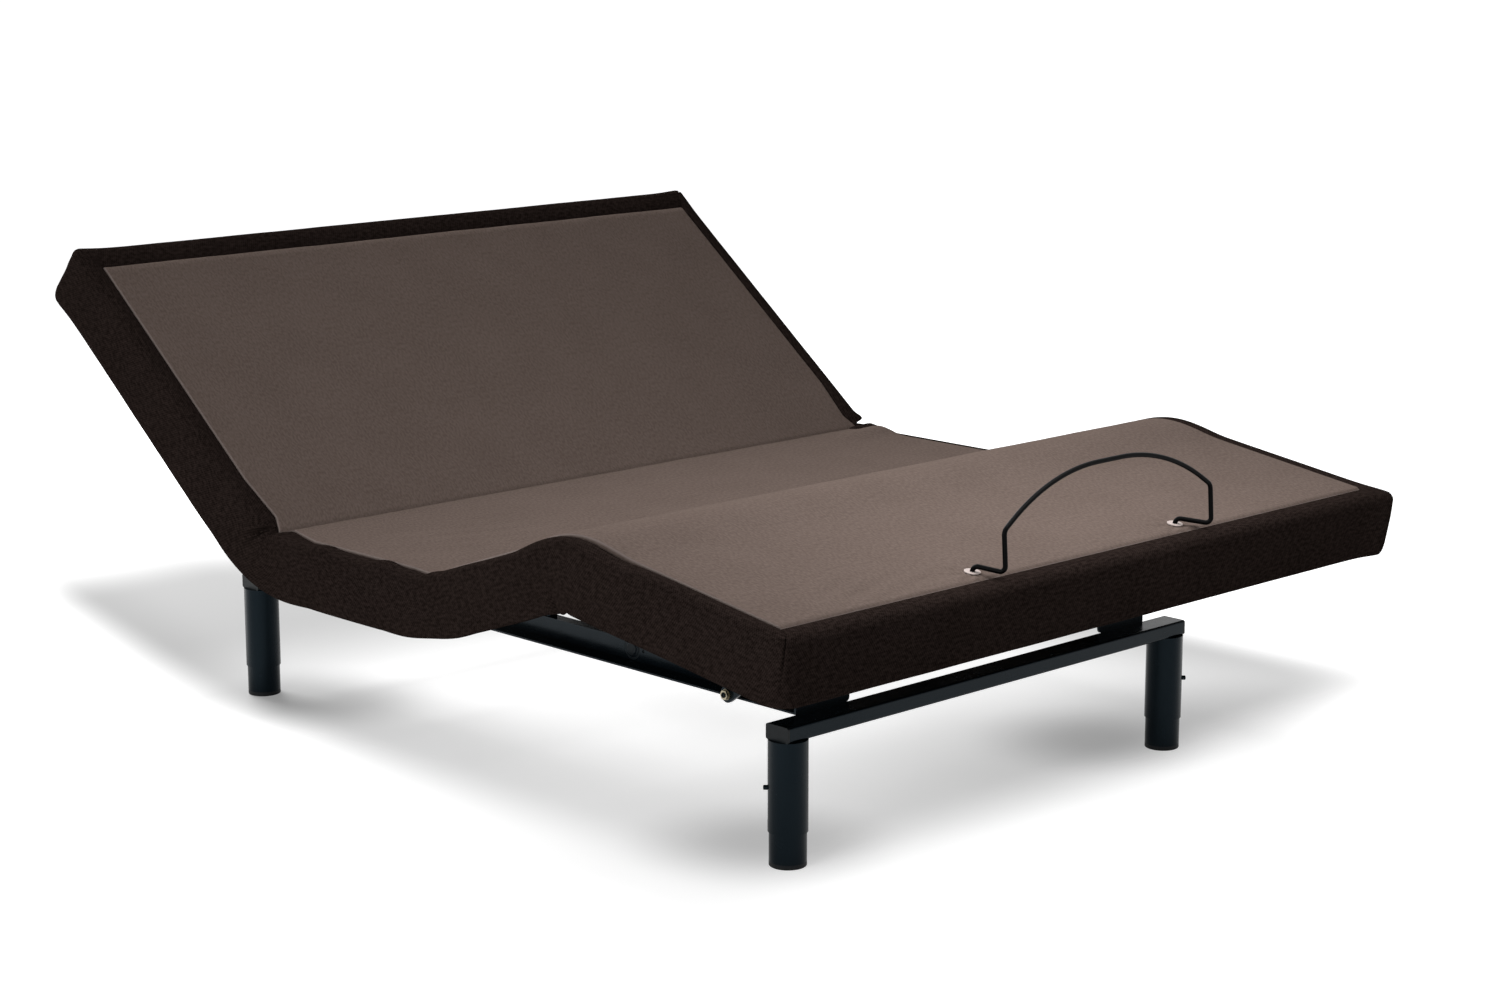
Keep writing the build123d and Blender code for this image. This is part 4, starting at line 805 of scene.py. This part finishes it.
# Middle of each socket: across the bed and on the path over the cloth
SOCKETS = [(sockets_low.x + SOCKET_RIM, SOCKET_LINE), (sockets_high.x - SOCKET_RIM, SOCKET_LINE)]
back_end = BACK_LENGTH - BACK_END_MARGIN
foot_end = FOOT_LENGTH - FOOT_END_MARGIN
back_places = free_end_places(BACK_JOINT.half, back_end, RIM_STEP)
back_rolled = rolled_end(on_back, back_end)
back_top = sew_top("back_top", back_places, back_rolled, BACK_LINE, 1, RIM_STEP, "head_panel", True)
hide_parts("head_pad")
foot_places = free_end_places(KNEE_JOINT.half, foot_end, FOOT_STEP)
foot_rolled = rolled_end(on_foot, foot_end)
foot_top = sew_top("foot_top", foot_places, foot_rolled, KNEE_LINE, -1, FOOT_STEP, "foot_panel", True)
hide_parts("foot_pad")
seat_top = sew_top("seat_top", seat_places, on_seat, 0.0, 1, RIM_STEP, "base")
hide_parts("seat_pad")
thigh_top = sew_top("thigh_top", thigh_places, on_thigh, 0.0, -1, RIM_STEP, "thigh_panel")
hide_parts("thigh_pad")


def fold_top(name, joint, line):
    """Top cloth over a hinge line, bending between its two panels."""
    def place(across, along, level):
        """Point of this fold's cloth."""
        return on_fold(joint, across, along, level)

    piece = sew_top(name, fold_places(joint), place, line, joint.heading)
    start, end = bend_span(joint, TOP / 2)
    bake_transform(piece)
    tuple(start)
    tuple(end)


fold_top("back_top_fold", BACK_JOINT, BACK_LINE)
fold_top("thigh_top_fold", THIGH_JOINT, 0.0)
fold_top("knee_top_fold", KNEE_JOINT, KNEE_LINE)


# Screws: black button-head screws of turned steel with a round socket. They hold the hinge
# leaves and the massage motors against the boards, and the link bolts end in the same head.
# Moulded plugs close the ends of the shaft tubes.
SCREW_EDGE = [(0.0048, 0.0), (0.0048, 0.0006), (0.0043, 0.0017), (0.0033, 0.0024)]
SCREW_PROFILE = SCREW_EDGE + [(0.0023, 0.0026), (0.0022, 0.0011)]
SCREW_SIDES = 12
LEAF_FACE = -0.009
FLANGE_FACE = -0.010
FLANGE_RADIUS = 0.070
BACK_MOTOR_LINE = 0.380
FOOT_MOTOR_LINE = 0.245
HINGE_PLACES = (-0.59, 0, 0.59)
LEAF_ROWS = [(side, along) for side in (-0.026, 0.026) for along in (0.032, 0.056)]
LEAF_SCREWS = [(hinge + side, along) for hinge in HINGE_PLACES for side, along in LEAF_ROWS]


def drive_screws(name, body, spots, profile, finish, slot):
    """Turned heads at places given as a panel, across, along and the level of the face."""
    mesh = bpy.data.meshes.new(name)
    build = bmesh.new()
    for place, across, along, level in spots:
        rings = []
        for radius, height in profile:
            turn = np.arange(SCREW_SIDES) * 2 * pi / SCREW_SIDES
            ring = [(across + radius * cos(t), along + radius * sin(t), level - height) for t in turn]
            rings.append([build.verts.new(place(*point)) for point in ring])
        for low, high in zip(rings, rings[1:]):
            for k in range(SCREW_SIDES):
                build.faces.new((low[k - 1], low[k], high[k], high[k - 1]))
        build.faces.new(rings[0])
        build.faces.new(rings[-1])
    bmesh.ops.recalc_face_normals(build, faces=build.faces)
    build.to_mesh(mesh)
    build.free()
    screws = bpy.data.objects.new(name, mesh)
    bpy.context.scene.collection.objects.link(screws)
    mesh.materials.append(finish)
    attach(screws, body)


def leaf_spots(place, start=0.0, step=1):
    """Screw places in the hinge leaves at one edge of a panel."""
    return [(place, across, start + step * along, LEAF_FACE) for across, along in LEAF_SCREWS]


def flange_spots(place, line):
    """Screw places round the flange of a massage motor."""
    turn = [pi / 4 + k * pi / 2 for k in range(4)]
    ring = [(FLANGE_RADIUS * cos(t), line + FLANGE_RADIUS * sin(t)) for t in turn]
    return [(place, across, along, FLANGE_FACE) for across, along in ring]


screw_black = powder_coat("screw_black", (0.004, 0.004, 0.004), (0.007, 0.007, 0.007))
SCREW = (SCREW_PROFILE, screw_black, "hinge_steel")
back_spots = leaf_spots(on_back) + flange_spots(on_back, BACK_MOTOR_LINE)
seat_spots = leaf_spots(on_seat) + leaf_spots(on_seat, SEAT_LENGTH, -1)
thigh_spots = leaf_spots(on_thigh) + leaf_spots(on_thigh, THIGH_LENGTH, -1)
foot_spots = leaf_spots(on_foot) + flange_spots(on_foot, FOOT_MOTOR_LINE)
drive_screws("back_screws", "head_panel", back_spots, *SCREW)
drive_screws("seat_screws", "base", seat_spots, *SCREW)
drive_screws("thigh_screws", "thigh_panel", thigh_spots, *SCREW)
drive_screws("foot_screws", "foot_panel", foot_spots, *SCREW)


def side_spots(node, line):
    """Places at both ends of a crosswise shaft or row of bolts, on its own line."""
    low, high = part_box(node)

    def at_left(along, height, level):
        """Point at the left end, its level counted inwards."""
        return (low.x + level, along, height)

    def at_right(along, height, level):
        """Point at the right end, its level counted inwards."""
        return (high.x - level, along, height)

    return [(place, line.y, line.z, 0.0) for place in (at_left, at_right)]


bolts_low, bolts_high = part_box("link_pivot_bolts")
bolt_spots = side_spots("link_pivot_bolts", (bolts_low + bolts_high) / 2)
drive_screws("link_bolt_ends", "base", bolt_spots, *SCREW)
PLUG_STEM = [(0.0098, -0.006), (0.0098, 0.0)]
PLUG_PROFILE = PLUG_STEM + [(0.0118, 0.0002), (0.0116, 0.0012), (0.0104, 0.0019), (0.006, 0.0023)]
PLUG = (PLUG_PROFILE, bush_moulding, "black_plastic")
for body in ("head_shaft", "thigh_shaft"):
    shaft_line = Vector(joints[f"{body}_turn"]["pos_m"])
    shaft_node = body.replace("_shaft", "_lift_shaft")
    drive_screws(f"{body}_plugs", body, side_spots(shaft_node, shaft_line), *PLUG)


# Retainer: a bent steel rod with a black coat that keeps the mattress from sliding down,
# standing in two moulded sockets in the foot panel.
rod_coat = moulded_plastic("rod_coat", (0.0008, 0.0008, 0.0009), (0.0015, 0.0015, 0.0016), 0.4)
pale_moulding = moulded_plastic("pale_moulding", (0.40, 0.33, 0.31), (0.56, 0.48, 0.45), 0.5)
rod_coat.node_tree.nodes["Principled BSDF"].inputs["Specular IOR Level"].default_value = 0.04
dress(rod_coat, "retainer_bar")
dress(pale_moulding, "retainer_sockets")


# Studio: a wide white floor with a soft shade painted on it beside the cast shadow, a key
# lamp behind the head end, a small one over the foot end, a low fill from the left, and
# the camera.
SHADE_CENTRE = (0.28, 0.78)
SHADE_HALF = (0.90, 1.50)
SHADE_SLANT = -0.25
SLANT_START = 0.8
SHADE_DEPTH = 0.68
FRONT_DEPTH = 0.34
LEG_LINES = (0.42, 0.60)
LEG_MIDDLE = 0.04


def combine(tree, operation, *values):
    """One step of arithmetic between node outputs and plain numbers."""
    node = tree.nodes.new("ShaderNodeMath")
    node.operation = operation
    for slot, value in zip(node.inputs, values):
        if isinstance(value, (int, float)):
            slot.default_value = value
        else:
            tree.links.new(value, slot)
    return node.outputs["Value"]


def smooth_between(tree, value, low, high, start, end):
    """Smooth step of a value over a range."""
    result = between(tree, value, low, high, start, end)
    result.node.interpolation_type = "SMOOTHSTEP"
    return result


def painted_shade(tree):
    """Soft band of shade on the floor, with darker spots at the legs, and the floor's own glow.

    The shade is 1 where the floor is clear.
    """
    place = tree.nodes.new("ShaderNodeTexCoord")
    split = tree.nodes.new("ShaderNodeSeparateXYZ")
    tree.links.new(place.outputs["Object"], split.inputs["Vector"])
    x, y = split.outputs["X"], split.outputs["Y"]
    slant = combine(tree, "MAXIMUM", combine(tree, "SUBTRACT", y, SLANT_START), 0)
    drawn_in = combine(tree, "MULTIPLY_ADD", slant, SHADE_SLANT, x)
    side = combine(tree, "ABSOLUTE", combine(tree, "SUBTRACT", drawn_in, SHADE_CENTRE[0]))
    end = combine(tree, "ABSOLUTE", combine(tree, "SUBTRACT", y, SHADE_CENTRE[1]))
    from_side = combine(tree, "SUBTRACT", SHADE_HALF[0], side)
    from_end = combine(tree, "SUBTRACT", SHADE_HALF[1], end)
    inside = combine(tree, "SMOOTH_MIN", from_side, from_end, 0.25)
    rise = smooth_between(tree, inside, 0, 1, -0.1, 0.13)
    fall = smooth_between(tree, inside, 1, 0, 0.1, 0.62)
    fall = combine(tree, "SMOOTH_MAX", fall, smooth_between(tree, y, 0, 1, 0.1, 1.2), 0.4)
    front = combine(tree, "MULTIPLY_ADD", x, 0.2, FRONT_DEPTH)
    towards_head = smooth_between(tree, y, 0, 1, -0.6, 1.2)
    deeper = combine(tree, "SUBTRACT", SHADE_DEPTH, front)
    depth = combine(tree, "MULTIPLY_ADD", towards_head, deeper, front)
    depth = combine(tree, "MULTIPLY", depth, smooth_between(tree, y, 1, 0, 1.6, 2.25))
    past_head = smooth_between(tree, y, 0, 1, 0.8, 1.2)
    beyond = combine(tree, "MULTIPLY", past_head, smooth_between(tree, x, 0, 1, 0, 0.7))
    depth = combine(tree, "MULTIPLY", depth, combine(tree, "SUBTRACT", 1, beyond))
    band = combine(tree, "MULTIPLY", combine(tree, "MULTIPLY", rise, fall), depth)
    leg_side = combine(tree, "SUBTRACT", combine(tree, "ABSOLUTE", x), LEG_LINES[0])
    from_middle = combine(tree, "ABSOLUTE", combine(tree, "SUBTRACT", y, LEG_MIDDLE))
    leg_end = combine(tree, "SUBTRACT", from_middle, LEG_LINES[1])
    end_square = combine(tree, "MULTIPLY", leg_end, leg_end)
    from_leg = combine(tree, "MULTIPLY_ADD", leg_side, leg_side, end_square)
    contact = smooth_between(tree, combine(tree, "SQRT", from_leg), 0.35, 0, 0.02, 0.26)
    far = tree.nodes.new("ShaderNodeVectorMath")
    far.operation = "LENGTH"
    tree.links.new(place.outputs["Object"], far.inputs[0])
    glow = smooth_between(tree, far.outputs["Value"], 0.8, 0.92, 2.5, 6.0)
    clear_of_band = combine(tree, "SUBTRACT", 1, band)
    clear_of_legs = combine(tree, "SUBTRACT", 1, contact)
    return combine(tree, "MULTIPLY", clear_of_band, clear_of_legs), glow


def seen(tree):
    """1 for what the camera sees straight or through a shiny or clear surface, else 0."""
    path = tree.nodes.new("ShaderNodeLightPath")
    direct = path.outputs["Is Camera Ray"]
    for mirrored in ("Is Glossy Ray", "Is Transmission Ray"):
        direct = combine(tree, "MAXIMUM", direct, path.outputs[mirrored])
    return direct


def studio_floor():
    """White floor out to the horizon, bright where the camera sees it."""
    mesh = bpy.data.meshes.new("floor")
    reach = 120.0
    corners = [(-reach, -reach, 0), (reach, -reach, 0), (reach, reach, 0), (-reach, reach, 0)]
    mesh.from_pydata(corners, [], [(0, 1, 2, 3)])
    floor = bpy.data.objects.new("floor", mesh)
    bpy.context.scene.collection.objects.link(floor)
    white = (0.8, 0.8, 0.8)
    material, tree, shader = new_finish("floor_white", white, 0.9)
    shade, glow = painted_shade(tree)
    two_tone(tree, shader, shade, (0, 0, 0), white)
    glow = combine(tree, "MULTIPLY", glow, shade)
    shader.inputs["Emission Color"].default_value = (1, 1, 1, 1)
    strength = combine(tree, "MULTIPLY", seen(tree), glow)
    tree.links.new(strength, shader.inputs["Emission Strength"])
    mesh.materials.append(material)


def soft_lamp(name, place, target, size, power):
    """Square studio lamp at a place, turned to a target."""
    lamp = bpy.data.lights.new(name, "AREA")
    lamp.shape = "SQUARE"
    lamp.size = size
    lamp.energy = power
    holder = bpy.data.objects.new(name, lamp)
    holder.location = place
    holder.visible_camera = False
    aim = Vector(target) - Vector(place)
    holder.rotation_euler = aim.to_track_quat("-Z", "Y").to_euler()
    bpy.context.scene.collection.objects.link(holder)


studio_floor()
soft_lamp("key", (0.2, 3.55, 3.25), (0, 0, 0.4), 2.6, 240)
soft_lamp("over_foot", (0.05, -1.15, 1.5), (0.0, -1.05, 0.5), 1.0, 15)
soft_lamp("fill", (-4.3, -1.0, 1.3), (0, 0, 0.35), 2.0, 62)

world = bpy.data.worlds.new("studio")
world.use_nodes = True
sky = world.node_tree.nodes["Background"]
sky.inputs["Color"].default_value = (1, 1, 1, 1)
SKY_LIGHT = 0.14
sky_tree = world.node_tree
sky_strength = combine(sky_tree, "MULTIPLY_ADD", seen(sky_tree), 1 - SKY_LIGHT, SKY_LIGHT)
sky_tree.links.new(sky_strength, sky.inputs["Strength"])
bpy.context.scene.world = world

PHOTO_WIDTH = 1500
FOCAL_PIXELS = 3016.4
CAMERA_PLACE = (-3.6933, -3.9110, 1.5464)
CAMERA_TILT = 11.82
CAMERA_TURN = -44.09
lens = bpy.data.cameras.new("camera")
lens.sensor_width = 36
lens.lens = FOCAL_PIXELS * lens.sensor_width / PHOTO_WIDTH
lens.clip_end = 400
camera = bpy.data.objects.new("camera", lens)
camera.location = CAMERA_PLACE
camera.rotation_euler = (radians(90 - CAMERA_TILT), 0, radians(CAMERA_TURN))
bpy.context.scene.collection.objects.link(camera)
bpy.context.scene.camera = camera
bpy.context.scene.view_settings.view_transform = "Standard"
